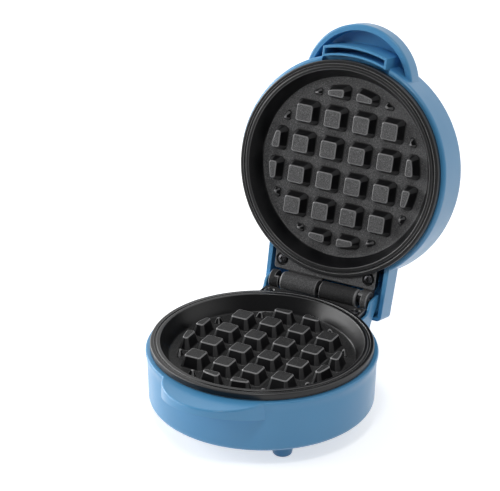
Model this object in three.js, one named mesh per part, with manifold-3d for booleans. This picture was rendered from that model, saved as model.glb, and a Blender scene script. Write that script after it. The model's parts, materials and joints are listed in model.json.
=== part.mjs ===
// Mini waffle maker, standing open. Millimetres, +Z up, front towards -Y, hinge towards +Y.
// Both halves are drawn from the base's axis, with height zero at the lower plate's rim.
import * as THREE from "three";
import { mergeVertices } from "three/addons/utils/BufferGeometryUtils.js";
import Module from "manifold-3d";

const wasm = await Module();
wasm.setup();

// Driving sizes
const baseRadius = 63.5;
const wiringDepth = 14.5;
const lampRoom = 4.4;
const hingeOffset = 5.8;
const hingeReach = baseRadius + hingeOffset;
const openDegrees = 105;

// Gaps between pieces
const plateGap = 0.6;
const seatGap = 0.35;
const holeGap = 0.3;
const knuckleGap = 0.6;
const overrun = 1.0;

// Walls
const housingWall = 2.2;
const castWall = 2.6;

// Grill plate, from its rim inwards
const plateInset = 2.4;
const plateRadius = baseRadius - plateInset;
const skirtHeight = 4.0;
const skirtWall = 1.9;
const rimUnderDepth = 2.9;
const rimUnderInset = 3.2;
const rimUnderRadius = plateRadius - rimUnderInset;
const rimRound = 0.8;
const bandDrop = 0.25;
const bandWidth = 2.2;
const bandInnerRadius = plateRadius - bandWidth;
const grooveDepth = 0.9;
const grooveSlope = 0.3;
const grooveOuterRadius = bandInnerRadius - grooveSlope;
const grooveWidth = 0.7;
const grooveInnerRadius = grooveOuterRadius - grooveWidth;
const ridgeSlope = 0.4;
const ridgeOuterRadius = grooveInnerRadius - ridgeSlope;
const ridgeWidth = 1.8;
const wellRadius = ridgeOuterRadius - ridgeWidth;
const wellLip = 0.4;
const wellDepth = 8.0;
const wellDraft = 4.7;
const wellFloorRadius = wellRadius - wellDraft;
const wellFloorRound = 1.6;

// Studs
const studPitch = 17.64;
const studFoot = 13.2;
const studDraft = 1.85;
const studRound = 1.6;
const studHeight = 5.4;
const studMargin = 4.8;
const studRingFootRadius = wellFloorRadius - studMargin;
const studRingDraft = 2.1;
const studRingTopRadius = studRingFootRadius - studRingDraft;
const studRows = 2 * Math.ceil(studRingFootRadius / studPitch);

// Rear tab
const tabHalfWidth = 31.5;
const tabDrop = 1.8;
const tabThickness = 4.8;
const tabOverlap = 9.9;
const tabStart = rimUnderRadius - tabOverlap;
const tabCornerRadius = 4.6;
const screwInset = 4.5;
const screwX = tabHalfWidth - screwInset;
const screwSetBack = 11.6;
const screwY = hingeReach - screwSetBack;
const screwSinkRadius = 3.1;

// Ear, knuckle and pin, from the tab's side inwards
const knuckleRadius = 5.25;
const earInset = 0.9;
const earOuter = tabHalfWidth - earInset;
const earWidth = 3.6;
const earInner = earOuter - earWidth;
const earShoulderWidth = 2.3;
const earShoulderEnd = earInner - earShoulderWidth;
const earShoulderBack = 2.8;
const earShoulderRise = 3.6;
const earClearance = 0.8;
const knuckleEnd = earShoulderEnd - earClearance;
const knuckleStart = 1.2;
const knuckleChamfer = 1.2;
const webDrop = 1.0;
const pinRadius = 2.0;
const pinEndChamfer = 0.4;
const pinInset = 0.5;
const pinHalfLength = tabHalfWidth - pinInset;

// Screws
const screwHeadRadius = 2.6;
const screwHeadHeight = 1.7;
const screwHeadEdge = 0.4;
const screwShankRadius = 1.5;
const screwTip = 1.0;
const hingeScrewLength = 10.5;
const screwHeadRise = 0.7;
const screwSinkMargin = 0.2;
const screwSinkDepth = screwHeadHeight - screwHeadRise + screwSinkMargin;
const screwTipGap = 1.4;
const crossLength = 3.2;
const crossWidth = 0.8;
const crossDepth = 1.0;

// Heater parts, the same in both halves
const thermostatReach = 17.0;
const elementRadius = (wellFloorRadius + thermostatReach) / 2;
const elementTube = 3.3;
const elementGapDegrees = 34;
const elementEndRun = 10.0;
const elementEndReach = elementRadius + elementEndRun;
const elementEndX = 9.0;
const terminalRadius = 1.2;
const terminalLength = 7.0;
const shieldInset = 2.0;
const shieldRadius = wellFloorRadius - shieldInset;
const shieldFlare = 1.2;
const shieldThickness = 0.8;
const shieldNotchMargin = 5.0;
const shieldNotchHalfWidth = elementEndX + shieldNotchMargin;
const shieldScrewLength = 5.5;
const leadRadius = 1.3;
const leadGap = 1.0;

// Bosses under the plate
const centreBossRadius = 4.5;
const frontBossRadius = 4.0;
const frontBossGap = 0.9;
const frontBossReach = elementRadius + elementTube + frontBossRadius + frontBossGap;
const frontBossHeight = 11.0;

// Thermostat, fuse and terminal block
const thermostatRadius = 8.0;
const thermostatHeight = 5.5;
const thermostatNeckRadius = 5.5;
const thermostatNeckHeight = 3.4;
const bladeWidth = 6.0;
const bladeThickness = 0.8;
const bladeHeight = 6.0;
const bladeSpread = 6.4;
const fuseRadius = 2.1;
const fuseLength = 11.0;
const fuseReach = 18.0;
const fuseLeadRadius = 0.6;
const fuseLeadLength = 7.0;
const blockLength = 28.0;
const blockWidth = 13.0;
const blockHeight = 9.0;
const blockReach = 30.0;
const blockPoles = 3;
const blockBoreRadius = 2.2;
const blockBoreDepth = 5.5;

// Base housing
const baseFlare = 0.8;
const baseFlareHeight = 3.4;
const baseWallRadius = baseRadius - baseFlare;
const baseTaper = 0.9;
const baseBottomRadius = baseWallRadius - baseTaper;
const baseEdgeRound = 1.8;
const baseFootRound = 3.5;
const baseLedge = 3.6;
const baseLedgeDepth = 3.0;
const lipRadius = 32.5;
const lipOverhang = 14.1;
const lipReach = baseRadius + lipOverhang - lipRadius;
const lipFace = 4.0;
const lipRootDepth = 10.2;
const hingeBossRadius = 3.6;
const frontScrewPostRadius = 4.6;
const frontScrewSinkRadius = 3.2;
const frontScrewSinkDepth = 6.0;
const frontScrewLength = 14.0;

// Neck behind the base, with its tongues and the pad that the open hood rests on
const tongueWidth = 1.55;
const neckHalfWidth = tabHalfWidth + seatGap + tongueWidth;
const neckCornerRound = 1.5;
const neckSetBack = 4.0;
const neckBackY = hingeReach - neckSetBack;
const neckBendDrop = 15.8;
const tongueRadius = 6.2;
const tongueRise = 1.9;
const tongueFrontRun = 9.3;
const tongueFront = hingeReach - tongueFrontRun;
const tongueCrestRun = 0.8;
const tongueCrest = hingeReach - tongueCrestRun;
const tongueSweep = 5.5;
const tongueBackDegrees = 66;
const tongueHollow = 2.2;
const tongueHollowDrop = 9.0;
const stopInset = 9.4;
const stopHalfWidth = neckHalfWidth - stopInset;

// Feet
const footHeight = 10.0;
const footTopRadius = 6.5;
const footBottomRadius = 5.3;
const footFlatRadius = 3.2;
const footRound = 2.0;
const footStemRadius = 3.0;
const footCollarRadius = 4.0;
const footCollarHeight = 2.2;
const frontFootInset = 15.8;
const frontFootReach = baseBottomRadius - frontFootInset;
const frontFootDegrees = 42.4;
const rearFootGap = 9.0;
const rearFootX = screwX - rearFootGap;
const rearFootInset = 8.3;
const rearFootY = neckBackY - rearFootInset;

// Cord gland
const glandBoreRadius = 3.4;
const glandSleeveRadius = 4.8;
const glandFlangeRadius = 7.0;
const glandMargin = 0.5;
const glandZ = -(neckBendDrop + glandMargin + glandFlangeRadius);
const glandFlange = 2.0;
const glandGroove = 0.3;

// Lid housing
const lidShoulderWidth = 9.75;
const lidShoulderHeight = 6.5;
const lidDiscRadius = baseRadius - lidShoulderWidth;
const lidGrooveWidth = 1.7;
const lidGrooveDepth = 0.9;

// Handle and the pocket inside it
const handleRadius = 33.2;
const handleOverhang = 17.4;
const handleReach = baseRadius + handleOverhang - handleRadius;
const handleUnder = 10.5;
const handleTop = 22.4;
const handleWall = 3.4;
const handleRoof = 3.0;
const handleTopRound = 2.6;
const handleEdgeRound = 1.2;
const pocketInset = 0.2;
const pocketInnerRadius = baseRadius - pocketInset;
const pocketWidth = 5.8;
const pocketOuterRadius = pocketInnerRadius + pocketWidth;
const pocketWall = 1.3;
const pocketHalfLength = 19.7;
const pocketDrop = 1.0;
const pocketDepth = 15.0;
const reliefHeight = 7.0;

// Hood over the hinge
const hoodWall = 2.0;
const hoodSideGap = 1.45;
const hoodHalfWidth = neckHalfWidth + hoodSideGap + hoodWall;
const hoodBackRun = 11.5;
const hoodBackY = hingeReach + hoodBackRun;
const hoodSpread = 1.15;
const hoodDraft = 1.6;
const hoodRun = 27.3;
const hoodStart = hingeReach - hoodRun;
const hoodTop = 17.7;
const hoodCornerRound = 3.0;
const hoodTopRound = 1.5;

// Slot in the lid's disc, its lens and its lamp
const slotWidth = 3.1;
const slotMargin = 5.05;
const slotLength = 25.9;
const slotEnd = lidDiscRadius - slotMargin;
const slotStart = slotEnd - slotLength;
const funnelWidth = 8.8;
const funnelDepth = 0.8;
const lensRecess = 1.2;
const lensFlange = 1.6;
const lensFlangeHeight = 1.2;
const lampRadius = 2.2;
const lampLength = 10.0;

// Facets
const ringSegments = 48;
const screwSegments = 10;
const footSegments = 14;
const smallSegments = 16;
const panSegments = 32;
const arcSegments = 2;
const pathSteps = 6;
const elementBends = 14;
const elementSteps = 24;
const leadSides = 6;
const lipSegments = 16;
const sideSegments = 4;
const elementSides = 8;

// Heights worked out from the sizes above
const plateUnder = -(wellDepth + castWall);
const elementZ = plateUnder - holeGap - elementTube;
const shieldTop = elementZ - elementTube - holeGap;
const shieldUnder = shieldTop - shieldThickness;
const baseTop = -(skirtHeight + seatGap);
const baseDepth = wiringDepth + housingWall - shieldUnder;
const baseFloor = -(baseDepth - housingWall);
const tabUnder = -(tabDrop + tabThickness);
const tabSeat = tabUnder - seatGap;
const hingeZ = plateGap / 2;
const lidEdge = plateGap + skirtHeight + seatGap;
const lampDepth = holeGap + lensFlangeHeight + holeGap + 2 * lampRadius;
const lidHeight = housingWall + lampDepth + lampRoom - shieldUnder;
const lidTop = plateGap + lidHeight;
const lidCeiling = lidTop - housingWall;
const hoodCeiling = plateGap + hoodTop - hoodWall;
const handleUnderZ = plateGap + handleUnder;
const handleTopZ = plateGap + handleTop;
const handleCeiling = handleTopZ - handleRoof;

// Colours and finishes
const bluePlastic = { color: 0x74a4d2, roughness: 0.28, metalness: 0.0 };
const nonStick = { color: 0x2b2d30, roughness: 0.5, metalness: 0.35 };
const darkSteel = { color: 0x3c3d40, roughness: 0.4, metalness: 0.8 };
const brightSteel = { color: 0xb9bbbe, roughness: 0.3, metalness: 0.9 };
const sheetMetal = { color: 0x9fa3a8, roughness: 0.45, metalness: 0.8 };
const ceramic = { color: 0xe4e0d6, roughness: 0.7, metalness: 0.0 };
const blackRubber = { color: 0x1b1b1d, roughness: 0.8, metalness: 0.0 };
const smokedLens = { color: 0x231c1e, roughness: 0.2, metalness: 0.0 };
const lampGlass = { color: 0xd98a5a, roughness: 0.15, metalness: 0.0 };
const leadSleeve = { color: 0xd8d4c8, roughness: 0.8, metalness: 0.0 };

// Turn a closed geometry into a solid that can be joined and cut
function toSolid(geometry) {
  geometry.deleteAttribute("normal");
  geometry.deleteAttribute("uv");
  const merged = mergeVertices(geometry);
  const place = merged.getAttribute("position");
  const index = merged.getIndex().array;
  const faces = [];
  const a = new THREE.Vector3();
  const b = new THREE.Vector3();
  const c = new THREE.Vector3();
  let volume = 0;
  for (let i = 0; i < index.length; i += 3) {
    const [p, q, r] = [index[i], index[i + 1], index[i + 2]];
    if (p === q || q === r || r === p) continue;
    a.fromBufferAttribute(place, p);
    b.fromBufferAttribute(place, q);
    c.fromBufferAttribute(place, r);
    volume += a.dot(b.cross(c));
    faces.push(p, q, r);
  }
  if (volume < 0) faces.reverse();
  const mesh = new wasm.Mesh({
    numProp: 3,
    vertProperties: Float32Array.from(place.array),
    triVerts: Uint32Array.from(faces),
  });
  return new wasm.Manifold(mesh);
}

// Turn a solid back into a geometry
function toGeometry(solid) {
  const mesh = solid.getMesh();
  const geometry = new THREE.BufferGeometry();
  geometry.setAttribute("position", new THREE.BufferAttribute(mesh.vertProperties, 3));
  geometry.setIndex(new THREE.BufferAttribute(mesh.triVerts, 1));
  geometry.computeVertexNormals();
  return geometry;
}

const join = (first, ...rest) => rest.reduce((sum, next) => sum.add(next), first);
const cut = (first, ...tools) => tools.reduce((left, tool) => left.subtract(tool), first);

// A profile of radius and height turned about the vertical axis
function turned(profile, segments) {
  const points = profile.getPoints
    ? profile.getPoints(arcSegments)
    : profile.map(([r, z]) => new THREE.Vector2(r, z));
  if (points[0].x > 0) points.push(points[0].clone());
  const lathe = new THREE.LatheGeometry(points, segments);
  return toSolid(lathe.rotateX(Math.PI / 2));
}

// A plan outline raised from one height to another
function raised(shape, low, high, curveSegments = arcSegments) {
  const options = { depth: high - low, bevelEnabled: false, curveSegments };
  return toSolid(new THREE.ExtrudeGeometry(shape, options).translate(0, 0, low));
}

// A side outline, drawn as y and z, carried across from one x to another
function across(shape, left, right) {
  const options = { depth: right - left, bevelEnabled: false, curveSegments: sideSegments };
  const geometry = new THREE.ExtrudeGeometry(shape, options).translate(0, 0, left);
  const turn = new THREE.Matrix4().makeBasis(
    new THREE.Vector3(0, 1, 0), new THREE.Vector3(0, 0, 1), new THREE.Vector3(1, 0, 0));
  return toSolid(geometry.applyMatrix4(turn));
}

function outline(points) {
  return new THREE.Shape(points.map(([x, y]) => new THREE.Vector2(x, y)));
}

function block(x0, x1, y0, y1, z0, z1) {
  const box = new THREE.BoxGeometry(x1 - x0, y1 - y0, z1 - z0);
  return toSolid(box.translate((x0 + x1) / 2, (y0 + y1) / 2, (z0 + z1) / 2));
}

function post(x, y, radius, low, high, segments = smallSegments) {
  const cylinder = new THREE.CylinderGeometry(radius, radius, high - low, segments);
  return toSolid(cylinder.rotateX(Math.PI / 2).translate(x, y, (low + high) / 2));
}

// A round bar across the hinge line
function hingeBar(radius, left, right) {
  const cylinder = new THREE.CylinderGeometry(radius, radius, right - left, smallSegments);
  return toSolid(cylinder.rotateZ(Math.PI / 2).translate((left + right) / 2, hingeReach, hingeZ));
}

// A round bar along a curve
function bar(curve, radius, sides, steps) {
  const section = new THREE.Shape();
  for (let i = 0; i < sides; i += 1) {
    const turn = (i / sides) * Math.PI * 2;
    const [u, v] = [Math.cos(turn) * radius, Math.sin(turn) * radius];
    if (i === 0) section.moveTo(u, v);
    else section.lineTo(u, v);
  }
  section.closePath();
  return toSolid(new THREE.ExtrudeGeometry(section, { steps, extrudePath: curve, bevelEnabled: false }));
}

// A square outline with round corners
function roundedSquare(width, round) {
  const edge = width / 2 - round;
  const shape = new THREE.Shape();
  for (let corner = 0; corner < 4; corner += 1) {
    const middle = Math.PI / 4 + corner * (Math.PI / 2);
    const [x, y] = [Math.sign(Math.cos(middle)) * edge, Math.sign(Math.sin(middle)) * edge];
    shape.absarc(x, y, round, middle - Math.PI / 4, middle + Math.PI / 4, false);
  }
  return shape;
}

// One stud: a round-cornered square that narrows towards its top
function stud(x, y) {
  const shape = roundedSquare(studFoot, studRound);
  const low = -(wellDepth + castWall / 2);
  const top = studHeight - wellDepth;
  const slope = studDraft / studHeight;
  const options = { depth: top - low, bevelEnabled: false, curveSegments: 1 };
  const geometry = new THREE.ExtrudeGeometry(shape, options).translate(0, 0, low);
  const place = geometry.getAttribute("position");
  for (let i = 0; i < place.count; i += 1) {
    const inset = (place.getZ(i) + wellDepth) * slope;
    const scale = 1 - inset / (studFoot / 2);
    place.setXY(i, place.getX(i) * scale, place.getY(i) * scale);
  }
  return toSolid(geometry.translate(x, y, 0));
}

// The field of studs, cut to a ring where it meets the well wall
function studField() {
  const low = -(wellDepth + castWall / 2);
  const slope = (studRingFootRadius - studRingTopRadius) / studHeight;
  const ring = turned([
    [0, low],
    [studRingFootRadius + (castWall / 2) * slope, low],
    [studRingTopRadius, studHeight - wellDepth],
    [0, studHeight - wellDepth],
  ], ringSegments);
  const first = -((studRows - 1) / 2) * studPitch;
  let field = null;
  for (let row = 0; row < studRows; row += 1) {
    for (let column = 0; column < studRows; column += 1) {
      const [x, y] = [first + column * studPitch, first + row * studPitch];
      const nearest = Math.hypot(Math.abs(x) - studFoot / 2, Math.abs(y) - studFoot / 2);
      if (nearest >= studRingFootRadius) continue;
      const whole = Math.hypot(Math.abs(x) + studFoot / 2, Math.abs(y) + studFoot / 2) < studRingTopRadius;
      const piece = whole ? stud(x, y) : stud(x, y).intersect(ring);
      field = field ? field.add(piece) : piece;
    }
  }
  return field;
}

// The round dish of the plate, from the middle of the well out to the skirt
function plateDish() {
  const profile = new THREE.Path();
  profile.moveTo(0, -wellDepth);
  profile.lineTo(wellFloorRadius - wellFloorRound, -wellDepth);
  const slope = (wellRadius - wellFloorRadius) / wellDepth;
  const bend = wellFloorRound * slope;
  profile.quadraticCurveTo(wellFloorRadius, -wellDepth, wellFloorRadius + bend, wellFloorRound - wellDepth);
  profile.lineTo(wellRadius - wellLip * slope, -wellLip);
  profile.lineTo(wellRadius + wellLip, 0);
  profile.lineTo(ridgeOuterRadius, 0);
  profile.lineTo(grooveInnerRadius, -grooveDepth);
  profile.lineTo(grooveOuterRadius, -grooveDepth);
  profile.lineTo(bandInnerRadius, -bandDrop);
  profile.lineTo(plateRadius - rimRound, -bandDrop);
  profile.lineTo(plateRadius, -(bandDrop + rimRound));
  profile.lineTo(plateRadius, -skirtHeight);
  profile.lineTo(plateRadius - skirtWall, -skirtHeight);
  profile.lineTo(plateRadius - skirtWall, -rimUnderDepth);
  profile.lineTo(rimUnderRadius, -rimUnderDepth);
  profile.lineTo(wellFloorRadius + bend, plateUnder);
  profile.lineTo(0, plateUnder);
  return turned(profile, ringSegments);
}

// The flat tab behind the rim, with a round corner about each screw
function plateTab() {
  const shape = new THREE.Shape();
  const rear = hingeReach - knuckleRadius - knuckleGap;
  const right = tabHalfWidth - tabCornerRadius;
  shape.moveTo(-tabHalfWidth, tabStart);
  shape.lineTo(tabHalfWidth, tabStart);
  shape.lineTo(tabHalfWidth, rear - tabCornerRadius);
  shape.absarc(right, rear - tabCornerRadius, tabCornerRadius, 0, Math.PI / 2, false);
  shape.lineTo(-right, rear);
  shape.absarc(-right, rear - tabCornerRadius, tabCornerRadius, Math.PI / 2, Math.PI, false);
  const tab = raised(shape, tabUnder, -tabDrop);
  const middle = rimUnderRadius + seatGap;
  const low = tabUnder - overrun;
  return cut(tab, turned([[0, low], [middle, low], [middle, 0], [0, 0]], ringSegments));
}

// The long knuckle, with its outer edge broken
function knuckle(left, right) {
  const profile = turned([
    [0, left], [knuckleRadius, left], [knuckleRadius, right - knuckleChamfer],
    [knuckleRadius - knuckleChamfer / 2, right], [0, right],
  ], smallSegments);
  return profile.rotate([0, 90, 0]).translate([0, hingeReach, hingeZ]);
}

// The flat arm that carries a knuckle on the tab, out to the reach given
function knuckleArm(left, right, reach) {
  const front = hingeReach - knuckleRadius - knuckleGap - overrun;
  const top = -(tabDrop + webDrop);
  return across(outline([
    [front, top],
    [reach, top],
    [reach, hingeZ - knuckleRadius + webDrop],
    [front, tabUnder],
  ]), left, right);
}

// The step beside the ear, made of the lower front part of the ear's round
function earShoulder() {
  const front = hingeReach - knuckleRadius - overrun;
  const space = block(-earInner - overrun, -earShoulderEnd, front, hingeReach - earShoulderBack,
    hingeZ - knuckleRadius - overrun, hingeZ + earShoulderRise);
  return hingeBar(knuckleRadius, -earInner - overrun, -earShoulderEnd).intersect(space);
}

// The whole casting: it lies face up, and the lid's copy is turned over about the Y axis
function grillPlate() {
  const centreUnder = shieldTop + holeGap;
  const frontUnder = plateUnder - frontBossHeight;
  const body = join(
    plateDish(), studField(), plateTab(),
    post(0, 0, centreBossRadius, centreUnder, plateUnder + overrun),
    post(0, -frontBossReach, frontBossRadius, frontUnder, plateUnder + overrun),
    knuckle(knuckleStart, knuckleEnd),
    knuckleArm(knuckleStart, knuckleEnd - knuckleChamfer, hingeReach),
    hingeBar(knuckleRadius, -earOuter, -earInner),
    knuckleArm(-earOuter, -earInner, hingeReach),
    earShoulder(),
    knuckleArm(-earOuter, -earShoulderEnd, hingeReach - earShoulderBack));
  const screwHole = screwShankRadius + holeGap;
  const tabHoles = [-screwX, screwX].flatMap((x) => [
    post(x, screwY, screwSinkRadius, -(tabDrop + screwSinkDepth), overrun),
    post(x, screwY, screwHole, tabUnder - overrun, 0, screwSegments),
  ]);
  return cut(
    body, ...tabHoles,
    hingeBar(pinRadius + holeGap, -tabHalfWidth - overrun, tabHalfWidth + overrun),
    post(0, 0, screwHole, centreUnder - overrun, plateUnder, screwSegments),
    post(0, -frontBossReach, screwHole, frontUnder - overrun, plateUnder, screwSegments));
}

// A cross-head screw with its head up at the height given, and its shank below
function screw(length) {
  const body = turned([
    [0, -(screwHeadHeight + length)],
    [screwShankRadius - screwTip / 2, -(screwHeadHeight + length)],
    [screwShankRadius, screwTip - (screwHeadHeight + length)],
    [screwShankRadius, -screwHeadHeight],
    [screwHeadRadius, -screwHeadEdge],
    [screwHeadRadius - screwHeadEdge * 2, 0],
    [0, 0],
  ], screwSegments);
  const arm = crossLength / 2;
  const side = crossWidth / 2;
  return cut(
    body,
    block(-arm, arm, -side, side, -crossDepth, overrun),
    block(-side, side, -arm, arm, -crossDepth, overrun));
}

// The tubular element: a ring with a gap at the rear, and two ends that run back to the terminals
function heatingElement() {
  const half = THREE.MathUtils.degToRad(elementGapDegrees / 2);
  const points = [new THREE.Vector3(-elementEndX, elementEndReach, elementZ)];
  for (let i = 0; i <= elementBends; i += 1) {
    const angle = Math.PI / 2 + half + (i / elementBends) * (Math.PI * 2 - 2 * half);
    points.push(new THREE.Vector3(Math.cos(angle), Math.sin(angle), 0).multiplyScalar(elementRadius));
    points.at(-1).z = elementZ;
  }
  points.push(new THREE.Vector3(elementEndX, elementEndReach, elementZ));
  const curve = new THREE.CatmullRomCurve3(points, false, "centripetal");
  const tube = bar(curve, elementTube, elementSides, elementSteps);
  const pins = [-elementEndX, elementEndX].map((x) => {
    const length = terminalLength + elementTube;
    const pin = new THREE.CylinderGeometry(terminalRadius, terminalRadius, length, elementSides);
    return toSolid(pin.translate(x, elementEndReach + terminalLength / 2 - elementTube / 2, elementZ));
  });
  return join(tube, ...pins);
}

// The sheet pan under the element
function heatShield(openings) {
  const rimTop = plateUnder - holeGap;
  const pan = turned([
    [screwShankRadius + holeGap, shieldTop],
    [shieldRadius - shieldFlare, shieldTop],
    [shieldRadius, rimTop],
    [shieldRadius + shieldThickness, rimTop],
    [shieldRadius - shieldFlare + shieldThickness, shieldUnder],
    [screwShankRadius + holeGap, shieldUnder],
  ], panSegments);
  const notch = block(
    -shieldNotchHalfWidth, shieldNotchHalfWidth, elementRadius, shieldRadius + housingWall,
    shieldTop, rimTop + overrun);
  const ports = openings.map(([y, radius]) => post(0, y, radius, shieldUnder - overrun, rimTop + overrun));
  return cut(pan, notch, ...ports);
}

// A fibre-sleeved lead through the points given
function lead(points) {
  const curve = new THREE.CatmullRomCurve3(points.map((p) => new THREE.Vector3(...p)));
  return bar(curve, leadRadius, leadSides, pathSteps);
}

// The thermostat: a disc against the plate, its neck through the shield, and two blades
function thermostat() {
  const top = plateUnder - holeGap;
  const neckTop = top - thermostatHeight;
  const neckUnder = neckTop - thermostatNeckHeight;
  const disc = post(0, -thermostatReach, thermostatRadius, neckTop, top);
  const neck = post(0, -thermostatReach, thermostatNeckRadius, neckUnder, neckTop + overrun);
  const blades = [-1, 1].map((side) => {
    const x = (side * bladeSpread) / 2;
    const y = -thermostatReach;
    return block(x - bladeThickness / 2, x + bladeThickness / 2, y - bladeWidth / 2, y + bladeWidth / 2,
      neckUnder - bladeHeight, neckUnder + overrun);
  });
  return join(disc, neck, ...blades);
}

// The thermal fuse: a small sleeve under the shield with a lead at each end
function thermalFuse() {
  const z = shieldUnder - holeGap - fuseRadius;
  const roll = (radius, length) => {
    const cylinder = new THREE.CylinderGeometry(radius, radius, length, screwSegments);
    return toSolid(cylinder.rotateZ(Math.PI / 2).translate(0, fuseReach, z));
  };
  return join(roll(fuseRadius, fuseLength), roll(fuseLeadRadius, fuseLength + 2 * fuseLeadLength));
}

// The terminal block on the base floor, with a screw well for each pole
function terminalBlock() {
  const low = baseFloor + holeGap;
  const [side, front, back] = [blockLength / 2, blockReach - blockWidth / 2, blockReach + blockWidth / 2];
  const body = block(-side, side, front, back, low, low + blockHeight);
  const pitch = blockLength / blockPoles;
  const wells = [];
  for (let pole = 0; pole < blockPoles; pole += 1) {
    const x = (pole - (blockPoles - 1) / 2) * pitch;
    wells.push(post(x, blockReach, blockBoreRadius, low + blockHeight - blockBoreDepth,
      low + blockHeight + overrun, screwSegments));
  }
  return cut(body, ...wells);
}

// The outside of the base cup
function baseShell() {
  const profile = new THREE.Path();
  profile.moveTo(0, -baseDepth);
  profile.lineTo(baseBottomRadius - baseFootRound, -baseDepth);
  profile.quadraticCurveTo(baseBottomRadius, -baseDepth, baseBottomRadius, baseFootRound - baseDepth);
  profile.lineTo(baseWallRadius, baseTop - baseEdgeRound - baseFlareHeight);
  profile.lineTo(baseRadius, baseTop - baseEdgeRound);
  profile.quadraticCurveTo(baseRadius, baseTop, baseRadius - baseEdgeRound, baseTop);
  profile.lineTo(0, baseTop);
  return turned(profile, ringSegments);
}

// The hollow of the base cup, narrower at the ledge that carries the plate
function baseHollow() {
  const ledgeRadius = baseRadius - baseLedge;
  return turned([
    [0, baseFloor],
    [baseBottomRadius - housingWall - baseFootRound / 2, baseFloor],
    [baseBottomRadius - housingWall, baseFloor + baseFootRound / 2],
    [baseWallRadius - housingWall, baseTop - baseLedgeDepth],
    [ledgeRadius, baseTop - baseLedgeDepth + baseEdgeRound / 2],
    [ledgeRadius, baseTop + overrun],
    [0, baseTop + overrun],
  ], ringSegments);
}

// The finger lip at the front: a disc edge that hangs from the wall on a sloping underside
function frontLip() {
  const disc = new THREE.Shape().absarc(0, -lipReach, lipRadius, 0, Math.PI * 2, false);
  const edge = raised(disc, baseTop - lipRootDepth, baseTop, lipSegments);
  const reach = lipReach + lipRadius;
  const bracket = turned([
    [0, baseTop - lipRootDepth],
    [baseRadius, baseTop - lipRootDepth],
    [reach, baseTop - lipFace],
    [reach + overrun, baseTop - lipFace],
    [reach + overrun, baseTop],
    [0, baseTop],
  ], ringSegments);
  const rear = block(-baseRadius, baseRadius, -lipReach, baseRadius, -baseDepth, overrun);
  return cut(edge.intersect(bracket), rear);
}

// Where a point of the closed lid lies once the lid is open
function openPlace(y, z) {
  const turn = THREE.MathUtils.degToRad(openDegrees);
  const [dy, dz] = [y - hingeReach, z - hingeZ];
  return [
    hingeReach + Math.cos(turn) * dy + Math.sin(turn) * dz,
    hingeZ - Math.sin(turn) * dy + Math.cos(turn) * dz,
  ];
}

// A point on the face of the neck that the hood's lower rim rests on when open, at the height given
function stopPoint(z) {
  const turn = THREE.MathUtils.degToRad(openDegrees);
  const rim = lidEdge - seatGap - hingeZ;
  const back = (hingeZ + Math.cos(turn) * rim - z) / Math.sin(turn);
  return openPlace(hingeReach + back, lidEdge - seatGap);
}

// The neck behind the cup: a box with round back corners
function neckBox() {
  const side = new THREE.Shape();
  side.moveTo(hoodStart, -baseDepth);
  side.lineTo(hoodStart, tabSeat);
  side.lineTo(neckBackY, tabSeat);
  side.lineTo(neckBackY, baseFootRound - baseDepth);
  side.quadraticCurveTo(neckBackY, -baseDepth, neckBackY - baseFootRound, -baseDepth);
  const plan = new THREE.Shape();
  const [right, back] = [neckHalfWidth - neckCornerRound, neckBackY - neckCornerRound];
  plan.moveTo(-neckHalfWidth, hoodStart);
  plan.lineTo(neckHalfWidth, hoodStart);
  plan.lineTo(neckHalfWidth, back);
  plan.absarc(right, back, neckCornerRound, 0, Math.PI / 2, false);
  plan.lineTo(-right, neckBackY);
  plan.absarc(-right, back, neckCornerRound, Math.PI / 2, Math.PI, false);
  return across(side, -neckHalfWidth, neckHalfWidth).intersect(raised(plan, -baseDepth, tabSeat));
}

// The pad on the back of the neck that the open hood rests on
function hoodStop() {
  const [lowY, lowZ] = openPlace(hoodBackY, lidEdge - seatGap);
  const inside = neckBackY - housingWall;
  const side = new THREE.Shape();
  side.moveTo(inside, tabSeat);
  side.lineTo(...stopPoint(tabSeat));
  side.lineTo(lowY, lowZ);
  side.quadraticCurveTo(neckBackY, lowZ - housingWall, neckBackY, -neckBendDrop);
  side.lineTo(inside, -neckBendDrop);
  return across(side, -stopHalfWidth, stopHalfWidth);
}

// The tongue at each side of the hinge, which hides the end of the pin
function tongues() {
  const crest = hingeZ + tongueRise;
  const from = Math.asin(tongueRise / tongueRadius);
  const to = -THREE.MathUtils.degToRad(tongueBackDegrees);
  const shape = new THREE.Shape();
  shape.moveTo(hoodStart, -neckBendDrop);
  shape.lineTo(hoodStart, baseTop);
  shape.lineTo(tongueFront, baseTop);
  const [leave, arrive] = [tongueFront + tongueSweep, tongueCrest - tongueSweep];
  shape.bezierCurveTo(leave, baseTop, arrive, crest, tongueCrest, crest);
  shape.absarc(hingeReach, hingeZ, tongueRadius, from, to, true);
  const foot = neckBackY - neckCornerRound;
  shape.quadraticCurveTo(neckBackY + tongueHollow, -tongueHollowDrop, foot, -neckBendDrop);
  const inner = neckHalfWidth - tongueWidth;
  return join(across(shape, -neckHalfWidth, -inner), across(shape, inner, neckHalfWidth));
}

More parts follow.
